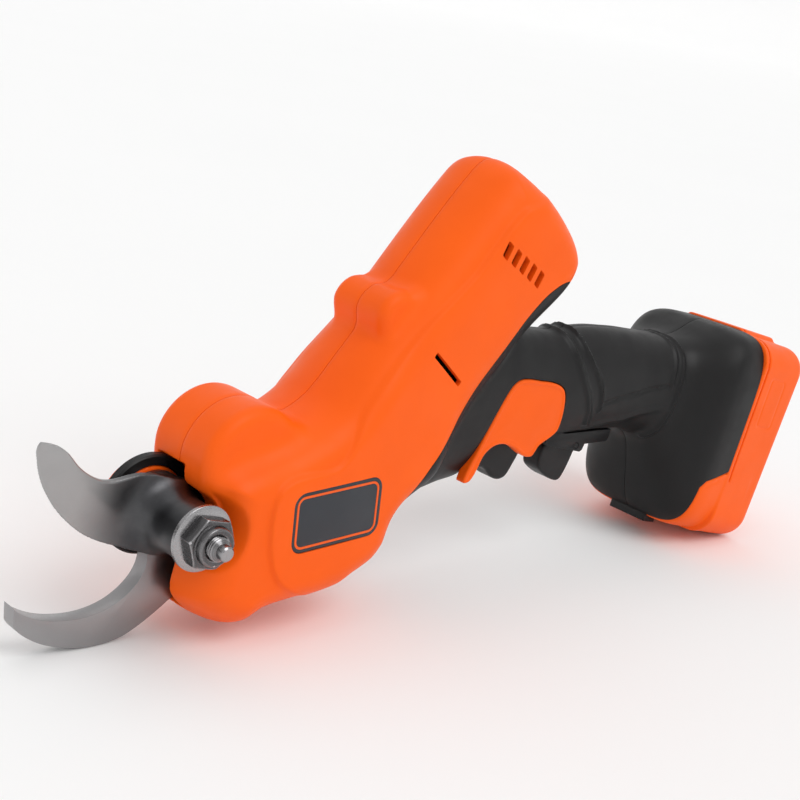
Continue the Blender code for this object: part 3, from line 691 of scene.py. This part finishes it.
def metal(name, colour, roughness, stretch, scale, scratch, dirt=0.9, edges=1.5):
    """Bare metal with grinding lines along one direction, slight staining and edges brightened as a painted
    highlight.
    """
    n = Nodes(name, colour, roughness, 1.0)
    lines = n.noise(scale, 4, stretch)
    stain = n.spread(n.noise(60, 5), 0.35, 0.7)
    base = n.mix(stain, scaled(colour, dirt), scaled(colour, 1.04))
    # painted highlight: convex edges are brightened towards edges times the colour
    base = n.mix(n.edges(0.51, 0.58), base, scaled(colour, edges))
    n.surface(base, n.spread(lines, 0.3, 0.7, roughness - 0.07, roughness + 0.08))
    n.bump(lines, scratch, 0.00003)
    return n.material


def steel_with_painted_pivot_shade(name, bright, dark, start, end):
    """Ground steel, with painted shade darkening it towards the pivot's axis; on the cutter the darkest part
    near the axis is also the hub's own dark steel.
    """
    n = Nodes(name, bright, 0.34, 1.0)
    from_pivot = n.vector_math("SUBTRACT", n.place, TOOL_MM @ Vector(PIVOT_CENTRE))
    flat = n.vector_math("MULTIPLY", from_pivot, (1, 0, 1))
    length = n.math("LENGTH", flat, kind="ShaderNodeVectorMath")
    # painted shade: away runs from the dark colour at the pivot to the bright one further out
    away = n.spread(length, start * MM, end * MM, kind="SMOOTHSTEP")
    lines = n.noise(700, 4, (1.0, 1.0, 9.0))
    stain = n.spread(n.noise(75, 5), 0.4, 0.75, 0.0, 0.18)
    base = n.mix(stain, n.mix(away, dark, bright), scaled(bright, 0.7))
    n.surface(base, n.spread(lines, 0.3, 0.7, 0.29, 0.42))
    n.bump(lines, 0.12, 0.00003)
    return n.material


ORANGE_COLOUR = (1.0, 0.121, 0.004)
BLACK_COLOUR = (0.0075, 0.0072, 0.0077)
ORANGE = plastic("orange_moulding", ORANGE_COLOUR, 0.44, 0.22, 2600, gloss=0.18)
PACK_ORANGE = plastic("orange_pack_moulding", scaled(ORANGE_COLOUR, 0.99), 0.42, 0.24, 2300, gloss=0.18)
BLACK = plastic("black_moulding", BLACK_COLOUR, 0.42, 0.25, 2400, 2.2, gloss=0.3)
RUBBER = plastic("soft_black_grip", (0.0068, 0.0064, 0.0067), 0.44, 0.32, 1700, 2.0, gloss=0.28)
CHARCOAL = plastic("badge_plate", (0.034, 0.037, 0.044), 0.42, 0.1, 3200, 1.5)
# Painted shade near the pivot darkens the cutter and the hook; the cutter's hub is also dark steel of its
# own.
BLADE_STEEL = steel_with_painted_pivot_shade("cutter_steel", (0.4, 0.395, 0.395), (0.07, 0.07, 0.074), 17, 44)
HOOK_STEEL = steel_with_painted_pivot_shade("hook_steel", (0.36, 0.35, 0.354), (0.23, 0.215, 0.22), 16, 40)
ZINC = metal("zinc_steel", (0.5, 0.5, 0.515), 0.26, (1, 6, 1), 1100, 0.08)
# On the nut, bolt and washer the last number sets the painted highlight on their edges.
NUT_STEEL = metal("nut_steel", (0.12, 0.117, 0.12), 0.25, (1, 6, 1), 1100, 0.03, 0.93, 4.5)
BOLT_STEEL = metal("bolt_steel", (0.2, 0.196, 0.2), 0.22, (1, 6, 1), 1100, 0.03, 0.93, 2.6)
WASHER_STEEL = metal("washer_steel", (0.15, 0.147, 0.15), 0.27, (1, 1, 5), 800, 0.03, 0.95, 2.8)
GEAR_STEEL = metal("gear_steel", (0.4, 0.4, 0.41), 0.32, (1, 5, 1), 900, 0.2, 0.8)
BRONZE = metal("gear_bronze", (0.52, 0.32, 0.13), 0.36, (1, 5, 1), 800, 0.2, 0.75)
CASTING = metal("cast_alloy", (0.34, 0.345, 0.355), 0.52, (1, 1, 1), 1500, 0.5, 0.85)
COPPER = metal("contact_copper", (0.75, 0.4, 0.24), 0.28, (1, 1, 5), 900, 0.12)
BOARD = plastic("solder_mask", (0.02, 0.12, 0.05), 0.4, 0.15, 900, 1.4)
SLEEVE = plastic("cell_sleeve", (0.04, 0.17, 0.32), 0.36, 0.08, 500, 1.3)
INLAY = plastic("badge_border", scaled(ORANGE_COLOUR, 0.9), 0.4, 0.1, 3200, 1.1)


# The shells.

def layer(y_from, y_to):
    """Everything between two planes across the tool."""
    return box((-REACH, y_from, -REACH), (REACH, y_to, REACH))


def half_space(side):
    return layer(GAP, 200) if side > 0 else layer(-200, -GAP)


def clipped(field, inset, beyond, side=1):
    """A field moved inwards by inset, and cut off at a distance beyond the parting plane."""
    return lambda x, y, z: np.maximum(field(x, y, z) + inset, -side * y - beyond)


def colour_region(front, shift):
    """The space in front of the line between orange and black, or behind it. shift moves the line back."""
    edge = smooth_open([(x + shift * SIN_BODY, z - shift * COS_BODY) for x, z in COLOUR_EDGE])
    far = [(-1, -130), (-160, -160), (-160, 160), (90, 160)] if front else [(60, -60), (90, 20), (80, 85)]
    return prism(edge + far, -70, 70)


def body_slot(s_mid, q_mid, s_half, q_half, lean, side):
    """A slot in the motor's frame with small round corners, leaning by lean millimetres at each end."""
    outline = [body_point(s_mid + s, q_mid + q - lean * s / s_half)
               for s, q in rounded_corners(s_half, q_half, 0.7, 4)]
    return prism(outline, side * 13, side * 42)


def vent_slots(side):
    """Five leaning vents and the long slot below them."""
    vents = [body_slot(72.2 + 1.1 * k, 31.3 - 6.4 * k, 3.4, 1.95, -1.0, side) for k in range(5)]
    return vents + [body_slot(16.9, 17.6, 1.35, 11.2, 0.0, side)]


def inner_body(side, kept):
    """The space inside the body, less what stays as plastic."""
    space = smooth_solid(clipped(body_field, WALL, 2.2), (-112, -3.0, -104), (66, 33, 118), INNER_STEP)
    return cut(space if side > 0 else cross_over(space), *kept)


def seam_slot(field, low, high):
    """The thin dark slot at the parting plane. It doesn't reach through the wall."""
    core = smooth_solid(lambda x, y, z: np.maximum(field(x, y, z) + SEAM_CUT, np.abs(y) - 3.0),
                        (low[0], -4.8, low[2]), (high[0], 4.8, high[2]), INNER_STEP)
    return cut(layer(-SEAM_SLOT, SEAM_SLOT), core)


def build_housing(side, end):
    """One orange half, hollow, with its slots, bores and badge seat."""
    if side > 0:
        field, y_low, y_high = far_field, -2.6, 35
        kept = [turned(PIVOT_CENTRE, [(8.0, 24.2), (60, 24.2)])]
    else:
        field, y_low, y_high = near_field, -35, 2.6
        kept = [turned(PIVOT_CENTRE, [(-60, 18.0), (-5.6, 18.0)]),
                turned(PIVOT_CENTRE, [(-60, 26.5), (-15.5, 26.5)])]
    shell = smooth_solid(clipped(field, 0, 1.3, side), (-134, y_low, -106), (66, y_high, 118), SHELL_STEP)
    cut(shell, inner_body(side, kept), colour_region(False, 0.0), *vent_slots(side))
    keep(shell, half_space(side))
    cut(shell, seam_slot(body_field, (-116, 0, -106), (66, 0, 118)))
    if side > 0:
        bore, head_seat = [(5, 5.3), (40, 5.3)], [(18.0, 12.4), (60, 12.4)]
        cut(shell, turned(PIVOT_CENTRE, bore), turned(PIVOT_CENTRE, head_seat))
        cut(shell, *screw_pockets(HOUSING_SCREWS))
    cut(shell, badge_prism(-0.12, side * 30.6, side * 40))
    finish_piece(shell, "housing_shell_" + end, ORANGE, ["housing_" + end])


HOUSING_SCREWS = tuple(f"case_screw_{k}" for k in range(1, 5))
GRIP_SCREWS = ("case_screw_5", "case_screw_6")


def screw_place(name):
    """A case screw's head centre in tool millimetres."""
    back = TOOL_MM.inverted()
    low, high = (Vector(corner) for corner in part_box(name))
    middle = back @ ((low + high) / 2)
    return middle.x, (back @ high).y, middle.z


def screw_pockets(names):
    """A hole for each screw's head and one for its thread."""
    pockets = []
    for name in names:
        place = screw_place(name)
        pockets.append(turned(place, [(-2.4, 3.3), (0.6, 3.4), (30, 4.4)], 40))
        pockets.append(turned(place, [(-30, 1.6), (-2.0, 1.6)], 24))
    return pockets


def build_grips():
    """The two black halves of the handle and foot, with room for the controls and the battery's rail."""
    low, high = (-12, -2.6, -54), (219, 42, 80)
    shell = smooth_solid(clipped(grip_field, 0, 1.3), low, high, SHELL_STEP)
    hollow = smooth_solid(clipped(grip_field, WALL, 2.2), low, high, INNER_STEP)
    cut(shell, hollow, colour_region(True, 0.3), half_space(-1))
    guard = [(35, -40), (82, -40), (82.5, -12), (70, -5), (60, -4), (50, -5), (42, -14), (38, -25)]
    cut(shell, grown_prism(INSERT_OUTLINE, 0.45, 11.7, 30), prism(guard, 11.7, 30))
    trigger_room, lever_room = box((53.5, -8, -40), (87.5, 6.6, 6)), box((98.5, -8, -20), (147.5, 8.3, 1.8))
    cut(shell, trigger_room, lever_room)
    behind_foot = prism(FOOT_EDGE + [(260, -60), (260, 90)], -60, 60)
    cut(shell, behind_foot, box((199.4, -5, -3.6), (230, 26.6, 61.5)))
    cut(shell, layer(-60, GAP), seam_slot(grip_field, low, high))
    near = mirrored(shell)
    cut(shell, *screw_pockets(GRIP_SCREWS))
    for work, end in ((shell, "left"), (near, "right")):
        finish_piece(work, "grip_shell_" + end, RUBBER, ["grip_" + end])


def grown_prism(outline, grow, y_from, y_to):
    """A prism of a smoothed outline, moved outwards by grow."""
    loop = smooth_loop(outline, 4)
    before, after = np.roll(loop, 1, axis=0), np.roll(loop, -1, axis=0)
    tangent = after - before
    normal = np.stack([tangent[:, 1], -tangent[:, 0]], axis=1)
    normal /= np.linalg.norm(normal, axis=1)[:, None]
    area = np.sum(loop[:, 0] * after[:, 1] - after[:, 0] * loop[:, 1])
    loop = loop + normal * grow * (1 if area > 0 else -1)
    return prism([tuple(p) for p in loop], y_from, y_to)


BADGE_CENTRE = (-48.5, -44.8)
BADGE_TILT = math.radians(16.0)
BADGE_HALF_X, BADGE_HALF_Z, BADGE_CORNER = 23.4, 13.2, 5.6
BADGE_FACE = 31.75
BADGE_BORDER, BADGE_LINE = 1.6, 1.1


def badge_prism(inset, y_from, y_to):
    """The badge's shape, inset on every side."""
    turn_x, turn_z = math.cos(BADGE_TILT), math.sin(BADGE_TILT)
    half_x, half_z, corner = (size - inset for size in (BADGE_HALF_X, BADGE_HALF_Z, BADGE_CORNER))
    return prism([(BADGE_CENTRE[0] + x * turn_x - z * turn_z, BADGE_CENTRE[1] + x * turn_z + z * turn_x)
                  for x, z in rounded_corners(half_x, half_z, corner, 8)], y_from, y_to)


def badge_frame(side, play, y_from, y_to):
    """The badge's border line. play is the room left along each edge."""
    outer = badge_prism(BADGE_BORDER + play, side * y_from, side * y_to)
    return cut(outer, badge_prism(BADGE_BORDER + BADGE_LINE - play, side * 20, side * 50))


def build_badges():
    """A plain plate let into each side, with a thin inlaid border line."""
    for side, end in ((1, "left"), (-1, "right")):
        plate = badge_prism(0, side * 30.65, side * BADGE_FACE)
        cut(plate, badge_frame(side, 0, BADGE_FACE - 0.35, 40))
        bevelled(plate, 0.15)
        finish_piece(plate, "badge_plate_" + end, CHARCOAL, ["badge_" + end])
        line = badge_frame(side, 0.04, BADGE_FACE - 0.33, BADGE_FACE + 0.04)
        finish_piece(line, "badge_line_" + end, INLAY)


def build_inserts():
    """The orange side panels over the trigger, each with a raised rim."""
    outline = sampled(smooth_loop(INSERT_OUTLINE, 8), 0.4, 4.0)

    def field(x, y, z):
        away = outline(x, z)
        top = 17.35 - 0.4 * ramp(-away, 1.5, 2.3) + 0.35 * ramp(-away, 3, 12)
        return overlap(overlap(away + 0.05, y - top, 1.1), 12.1 - y, 0.4)

    panel = smooth_solid(field, (36, 11, -31), (95.5, 19, 28.5), 0.45)
    for work, end in ((panel, "left"), (mirrored(panel), "right")):
        finish_piece(work, "insert_panel_" + end, ORANGE, ["insert_" + end], 60)


# The cutting head.

def arc_points(radius, start, end, count):
    return [(PIVOT[0] + radius * math.cos(a), PIVOT[1] + radius * math.sin(a))
            for a in np.radians(np.linspace(start, end, count))]


BLADE_BACK = [
    (-121, -45.2), (-129, -45.6), (-139.6, -49.2), (-146, -49.6), (-153, -47.5), (-158, -44.8), (-163, -41),
    (-168, -38.8), (-175.3, -38.4),
]
BLADE_EDGE = [
    (-176, -40.5), (-174.7, -45), (-171, -52.3), (-164.5, -60), (-156.6, -66.3), (-146, -72), (-138, -74.3),
    (-130, -75.4), (-120.6, -75.4),
]
BLADE_ROOT = (arc_points(14.2, 265, 300, 4) + [(-94, -73), (-89.5, -79), (-82.5, -76), (-82, -58), (-90, -52)]
              + arc_points(14.2, 45, 100, 6))
HOOK_OUTER = [
    (-163.0, -109.9), (-160.8, -112.6), (-154, -116.0), (-146.4, -118.2), (-135, -119.2), (-123.5, -118.2),
    (-111.2, -113.6), (-101, -105), (-94.3, -97.8), (-88.5, -91),
]
HOOK_INNER = [
    (-122, -71), (-113.6, -76), (-110.8, -81), (-110.8, -87), (-113.8, -93.8), (-120.9, -101.2),
    (-131.5, -106.3), (-143, -108.2), (-152, -108.0), (-159.6, -106.2), (-164.8, -103.6),
]
HOOK_ROOT = [(-81, -84), (-79.5, -66), (-81, -53), (-92, -47.5)] + arc_points(15.5, 60, 190, 8)


def build_cutter():
    """The cutting blade with its hub in one piece, and the hook."""
    outline = sampled(dense_outline(BLADE_EDGE, BLADE_ROOT, BLADE_BACK), 0.35, 6.0)
    edge = smooth_open(BLADE_EDGE)

    def field(x, y, z):
        away = radius_from(PIVOT, x, z)
        nearest = FAR
        for ex, ez in edge:
            nearest = np.minimum(nearest, (x - ex) ** 2 + (z - ez) ** 2)
        ground = (1 - ramp(np.sqrt(nearest), 0.0, 15.0)) * ramp(away, 14, 34)
        face = -3.2 + 2.0 * ground
        plate = overlap(outline(x, z), np.maximum(face - y, y + 0.2), 0.35)
        hub = overlap(away - 12.0, np.maximum(-26.0 - y, y + 1.5), 0.6)
        return carve(np.maximum(blend(plate, hub, 12.0), y + 0.2), away - 5.6, 0.3)

    cutter = smooth_solid(field, (-178, -27.2, -81), (-80, 0.6, -36.5), 0.5)
    replaced = ["cutting_blade", "blade_hub"]
    finish_piece(cutter, "cutter", BLADE_STEEL, replaced, 50, body="cutter")
    hook = prism(dense_outline(HOOK_OUTER, HOOK_ROOT, HOOK_INNER), 0.2, 7.6)
    cut(hook, turned(PIVOT_CENTRE, [(-10, 5.3), (20, 5.3)]))
    bevelled(hook, 0.45, 40)
    finish_piece(hook, "hook", HOOK_STEEL, ["hook_blade"])


NUT_APOTHEM = 9.79
NUT_FACE, COLLAR_FACE = -34.9, -38.0
THREAD_ROOT, THREAD_CREST, THREAD_PITCH = 4.1, 4.85, 1.25


def nut_field(x, y, z):
    """A hexagon nut with a chamfered face and a locking collar."""
    dx, dz = x - PIVOT[0], z - PIVOT[1]
    away = np.hypot(dx, dz)
    hexagon = -FAR
    for a in np.radians((30, 90, 150)):
        hexagon = np.maximum(hexagon, np.abs(dx * math.cos(a) + dz * math.sin(a)) - NUT_APOTHEM)
    chamfer = (away - 10.0 - 1.7 * (y - NUT_FACE)) * 0.5
    body = overlap(overlap(hexagon, chamfer, 0.25), np.maximum(NUT_FACE - y, y + 28.7), 0.35)
    collar = slab(away - 8.2 + 0.12 * np.clip(-35.5 - y, 0, 3), y, COLLAR_FACE, -33.0, 0.9)
    return carve(blend(body, collar, 0.5), away - 5.1, 0.3)


def build_pivot():
    """The bolt, its washer and nut, and the black ring on the far side."""
    thread = [(-44.5, 2.5), (-43.9, 3.15), (-41.0, 3.2), (-40.4, THREAD_ROOT)]
    for k in range(7):
        start = -40.3 + k * THREAD_PITCH
        thread += [(start, THREAD_ROOT), (start + 0.45 * THREAD_PITCH, THREAD_CREST),
                   (start + 0.6 * THREAD_PITCH, THREAD_CREST)]
    head = [(18.3, THREAD_CREST), (18.35, 9.5), (21.9, 9.5), (22.7, 9.1), (23.4, 8.2)]
    bolt = turned(PIVOT_CENTRE, thread + [(-30.8, THREAD_CREST)] + head)
    cut(bolt, prism(arc_points(4.6, 0, 300, 6), 19.6, 30))
    finish_piece(bolt, "bolt", BOLT_STEEL, ["pivot_bolt"], 25)
    washer = turned_ring(PIVOT_CENTRE, [(-28.4, 5.2), (-28.4, 13.2), (-28.1, 13.6), (-26.6, 13.6),
                                        (-26.3, 13.2), (-26.3, 5.2)])
    finish_piece(washer, "washer", WASHER_STEEL, ["pivot_washer"], 40)
    nut = smooth_solid(nut_field, (-123.2, -39.2, -72.2), (-98.8, -27.8, -49.8), 0.36)
    finish_piece(nut, "nut", NUT_STEEL, ["pivot_nut"], 25)
    ring = turned_ring(PIVOT_CENTRE, [(8.9, 16.9), (8.9, 20.4), (9.6, 21.2), (12.6, 21.2), (13.3, 20.4),
                                      (13.3, 16.9)])
    finish_piece(ring, "ring", BLACK, ["pivot_ring"])


# Trigger, lever and screws.

TRIGGER_OUTLINE = [
    (55, 5), (55, -8), (55, -19), (57.5, -22.5), (62, -22.3), (66, -23.5), (70, -25.8), (76, -27),
    (80.5, -25), (83, -19), (85, -12), (86, -4), (86, 5),
]


def build_trigger():
    outline = sampled(smooth_loop(TRIGGER_OUTLINE), 0.4, 4.0)

    def field(x, y, z):
        solid = overlap(slab(outline(x, z), y, -5.9, 5.9, 1.8), z - 5.0, 0.4)
        spring_bore = np.maximum(np.hypot(x - 70, y) - 4.4, -1.0 - z)
        return carve(solid, spring_bore, 0.4)

    trigger = smooth_solid(field, (53, -7, -29), (88, 7, 7), 0.5)
    finish_piece(trigger, "finger_trigger", BLACK, ["trigger"], 60, body="trigger")


LEVER_PIN = (123.5, -3.4)
LEVER_OUTLINE = [
    (102.5, -16.5), (105.5, -19.5), (120, -23.2), (123, -21.5), (126.2, -8), (126.5, -3.4), (125, -1.8),
    (121, -1.8), (115, -3.3), (108, -4.9), (102.5, -6.4),
]
BRACKET_OUTLINE = [
    (99, 1.5), (99, -4.6), (100.5, -6.0), (127.5, -6.0), (129, -4.8), (129.6, -1.6), (145.6, 1.7),
    (147, 3.2), (147, 8.4), (134, 6.0), (120, 3.2), (112, 1.7),
]


def build_lever():
    outline = sampled(smooth_loop(LEVER_OUTLINE, 5), 0.35, 4.0)

    def field(x, y, z):
        solid = slab(outline(x, z), y, -5.5, 5.5, 1.0)
        solid = carve(solid, radius_from(LEVER_PIN, x, z) - 1.8, 0.3)
        spring_bore = np.maximum(np.hypot(x - 107.6, y) - 3.4, -9.5 - z)
        return carve(solid, spring_bore, 0.3)

    lever = smooth_solid(field, (100, -7, -25.5), (129, 7, 1), 0.45)
    finish_piece(lever, "safety_lever", BLACK, ["lockoff_lever"], 60, body="lockoff_lever")
    bracket = prism(BRACKET_OUTLINE, -8, 8)
    cut(bracket, box((95, -5.9, -12), (127.5, 5.9, -0.2)))
    cut(bracket, turned((LEVER_PIN[0], 0, LEVER_PIN[1]), [(-20, 1.8), (20, 1.8)], 24))
    bevelled(bracket, 0.4, 35)
    finish_piece(bracket, "lever_mount", BLACK, ["lever_bracket"])


SPRINGS = [
    # node, body, joint, fixed end, share of the length left at the joint's limit
    ("trigger_spring", "tool_body", "trigger_pull", (70, 0, 12.3), 0.52),
    ("lever_spring", "tool_body", "lever_squeeze", (108, 0, -1.2), 0.6),
    ("button_spring", "battery_pack", "button_press", (202, 0, -12.7), 0.8),
]


def build_springs():
    """Coils copied from the CAD springs, each in zinc steel and riding on its body."""
    for node, body, joint, fixed, left in SPRINGS:
        coil = new_object(node + "_coil", frame["nodes"][node].data.copy())
        coil.data.materials.clear()
        coil.data.materials.append(ZINC)
        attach(coil, body)
        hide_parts(node)
        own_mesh(coil)


def build_screws():
    """Pan heads with a six-lobed socket."""
    profile = [(-14, 1.0), (-13.4, 1.3), (-2.1, 1.3), (-1.9, 3.0), (-0.5, 3.0), (-0.1, 2.6), (0.0, 2.2)]
    for name in HOUSING_SCREWS + GRIP_SCREWS:
        x, y, z = screw_place(name)
        screw = turned((x, y, z), profile, 48)
        lobes = []
        for k in range(48):
            a = math.tau * k / 48
            radius = 1.15 + 0.22 * math.cos(6 * a)
            lobes.append((x + radius * math.cos(a), z + radius * math.sin(a)))
        cut(screw, prism(lobes, y - 1.2, y + 2))
        finish_piece(screw, name + "_detailed", ZINC, [name], 30)


# The battery pack.

def rounded_block(x_from, x_to, low, high, half, corner):
    """A block whose edges along x are round."""
    section = rounded_corners(half, (high - low) / 2, corner, 9)
    return loft([[(x, y, (high + low) / 2 + z) for y, z in section] for x in (x_from, x_to)])


foot_side = sampled(FOOT_EDGE + [(290, -60), (290, 90)], 0.5, 6.0)


def pack_field(x, y, z):
    """A rounded box behind the foot, with a tongue below it, a seam, a plain frame and finger recesses."""
    wide = slab(np.abs(y) - 39.5, z, -34, 74.8, 14)
    pad = slab(np.abs(y) - 19, z, 40, 77.2, 3)
    case = blend(wide, np.maximum(pad, x - 250), 1.0)
    case = overlap(case, x - PACK_END + PACK_INSET + PACK_LEAN * (PACK_TOP - z), 6.5)
    case = overlap(case, 216.3 - x, 1.2)
    tongue, _ = handle_solid(x, y, z)
    tongue = overlap(tongue, foot_side(x, z) + 0.3, 0.8)
    tongue = overlap(tongue, z + 3.8 - 5.8 * ramp(np.abs(y), 27, 29), 0.3)
    solid = blend(case, overlap(tongue, x - 240, 0.5), 1.0)
    groove = np.hypot(x - 219.6, np.clip(-1.4 - wide, 0, None)) - 0.5
    groove = np.where(z > -2, groove, 9.0)
    lip = np.abs(foot_side(x, z) + 2.6) - 0.45
    lip = np.maximum(np.maximum(lip, z + 2.0), 30.0 - np.abs(y))
    lip = np.maximum(lip, -0.7 - wide)
    solid = carve(carve(solid, groove, 0.5), lip, 0.5)
    panel = slab(np.abs(x - 233.5) - 6.8, z, 30.5, 56.5, 2.0)
    solid = carve(solid, np.maximum(np.abs(panel) - 0.35, 39.0 - np.abs(y)), 0.4)
    recess = slab(np.abs(z + 34.0) - 0.9, x, 220, 232, 0.6)
    return carve(solid, np.maximum(np.maximum(recess, np.abs(y) - 32), 22 - np.abs(y)), 0.8)


def build_pack():
    case = smooth_solid(pack_field, (187, -41, -36), (260.6, 41, 79.6), 0.8)
    cut(case, rounded_block(218.6, 249.0, -31.5, 72.6, 37, 10.5))
    cut(case, box((197.5, -26, -30.8), (222, 26, -6.5)), box((196.5, -12.3, -40), (207.5, 12.3, -25)))
    finish_piece(case, "battery_case", PACK_ORANGE, ["pack_case"], body="battery_pack")
    cover = rounded_block(216.6, 219.4, -3.4, 72.2, 36.6, 10)
    join(cover, box((203.2, -20, -3.0), (217, 20, 60)), box((200.2, -26, -3.0), (203.2, 26, 60.8)))
    for y in (-8.0, 8.0):
        cut(cover, box((198, y - 1.2, 15), (212, y + 1.2, 70)))
    bevelled(cover, 0.35, 40)
    finish_piece(cover, "battery_rail", BLACK, ["pack_cover"], body="battery_pack")
    button = box((197, -11.8, -36.4), (207, 11.8, -29))
    for k in range(4):
        x = 198.9 + 2.0 * k
        cut(button, box((x, -9, -38), (x + 0.7, 9, -36.0)))
    bevelled(button, 0.3, 40)
    finish_piece(button, "battery_button", BLACK, ["pack_button"], body="release_button")


# Finishes for the CAD pieces that stay.

CAD_FINISHES = {
    GEAR_STEEL: ["sector_gear", "drive_pinion", "cross_shaft", "bevel_pinion", "motor_shaft"],
    ZINC: ["bearing_near", "bearing_far"],
    BRONZE: ["crown_wheel"],
    CASTING: ["gear_frame", "gearbox_case", "motor_can"],
    BLACK: ["lever_pin", "motor_cap", "cooling_fan", "switch_body", "terminal_block", "capacitor"],
    COPPER: ["terminal_blade_1", "terminal_blade_2"],
    BOARD: ["control_board", "pack_board"],
    SLEEVE: [f"cell_{k}" for k in range(1, 6)],
}


def finish_cad_nodes():
    for surface, names in CAD_FINISHES.items():
        for name in names:
            for material_slot in frame["nodes"][name].material_slots:
                material_slot.material = surface


# Floor, light and camera.

FLOOR_RADIUS, FLOOR_RIM = 9.0, 4.0  # metres


def build_floor():
    """A pale disc that curves up far away, so that no horizon shows."""
    profile = [(3.0, 0.0), (FLOOR_RADIUS, 0.0)]
    profile += [(FLOOR_RADIUS + FLOOR_RIM * math.sin(a), FLOOR_RIM - FLOOR_RIM * math.cos(a))
                for a in np.radians(range(6, 91, 6))]
    sides = 96
    circle = [(math.cos(math.tau * k / sides), math.sin(math.tau * k / sides)) for k in range(sides)]
    verts = [(radius * c, radius * s, height) for radius, height in profile for c, s in circle]
    faces = [tuple(range(sides))]
    for r in range(len(profile) - 1):
        for k in range(sides):
            n = (k + 1) % sides
            faces.append((r * sides + k, (r + 1) * sides + k, (r + 1) * sides + n, r * sides + n))
    floor = solid_from(verts, faces)
    mesh = floor.data
    floor.name = mesh.name = "floor"
    mesh.shade_smooth()
    floor.location.z = -0.2 * MM
    n = Nodes("pale_floor", (0.955, 0.955, 0.955), 0.8)
    n.surface(n.mix(n.noise(3, 2), (0.95, 0.95, 0.948), (0.965, 0.965, 0.963)), 0.8)
    n.shader.inputs["Specular IOR Level"].default_value = 0.1
    mesh.materials.append(n.material)


def sun(name, toward, strength, softness):
    """A soft light from far away, as from a large studio box. softness is its angle in degrees."""
    data = bpy.data.lights.new(name, "SUN")
    data.energy = strength
    data.angle = math.radians(softness)
    new_object(name, data).rotation_euler = Vector(toward).to_track_quat("Z", "Y").to_euler()


WORLD_STRENGTH = 0.66


def build_light():
    """An even white surround and two soft lights."""
    world = bpy.data.worlds.new("studio")
    world.use_nodes = True
    background = world.node_tree.nodes["Background"]
    background.inputs["Color"].default_value = (1.0, 1.0, 1.0, 1.0)
    background.inputs["Strength"].default_value = WORLD_STRENGTH
    bpy.context.scene.world = world
    bpy.context.scene.view_settings.view_transform = "Standard"
    sun("key", (0.2, -1.0, 1.15), 0.95, 38)
    sun("top", (0.3, 0.4, 1.6), 0.35, 60)


FOCAL_LENGTH = 67.95  # millimetres, on a sensor 36 wide
CAMERA_DISTANCE = 0.669  # metres
CAMERA_ROLL, CAMERA_RAISE = math.radians(0.5), 0.002


def build_camera():
    """The camera looks at the middle of the tool's frame from in front of the nut's side and above."""
    normal = Vector((0.670, -0.302, 0.678)).normalized()
    length = Vector((0.302, 0.945, 0.124))
    length = (length - length.dot(normal) * normal).normalized()
    forward = normal.cross(length)
    place = Matrix((-forward, -normal, length)).to_4x4()
    place.translation = place.col[2].xyz * CAMERA_DISTANCE
    data = bpy.data.cameras.new("camera")
    data.sensor_width = 36.0
    data.lens = FOCAL_LENGTH
    data.clip_start = 0.01
    camera = new_object("camera", data)
    roll, raised = Matrix.Rotation(CAMERA_ROLL, 4, "Z"), Matrix.Rotation(CAMERA_RAISE, 4, "X")
    camera.matrix_world = TOOL @ place @ roll @ raised
    bpy.context.scene.camera = camera


build_camera()
build_light()
build_floor()
build_housing(1, "left")
build_housing(-1, "right")
build_grips()
build_badges()
build_inserts()
build_cutter()
build_pivot()
build_trigger()
build_lever()
build_springs()
build_screws()
build_pack()
finish_cad_nodes()
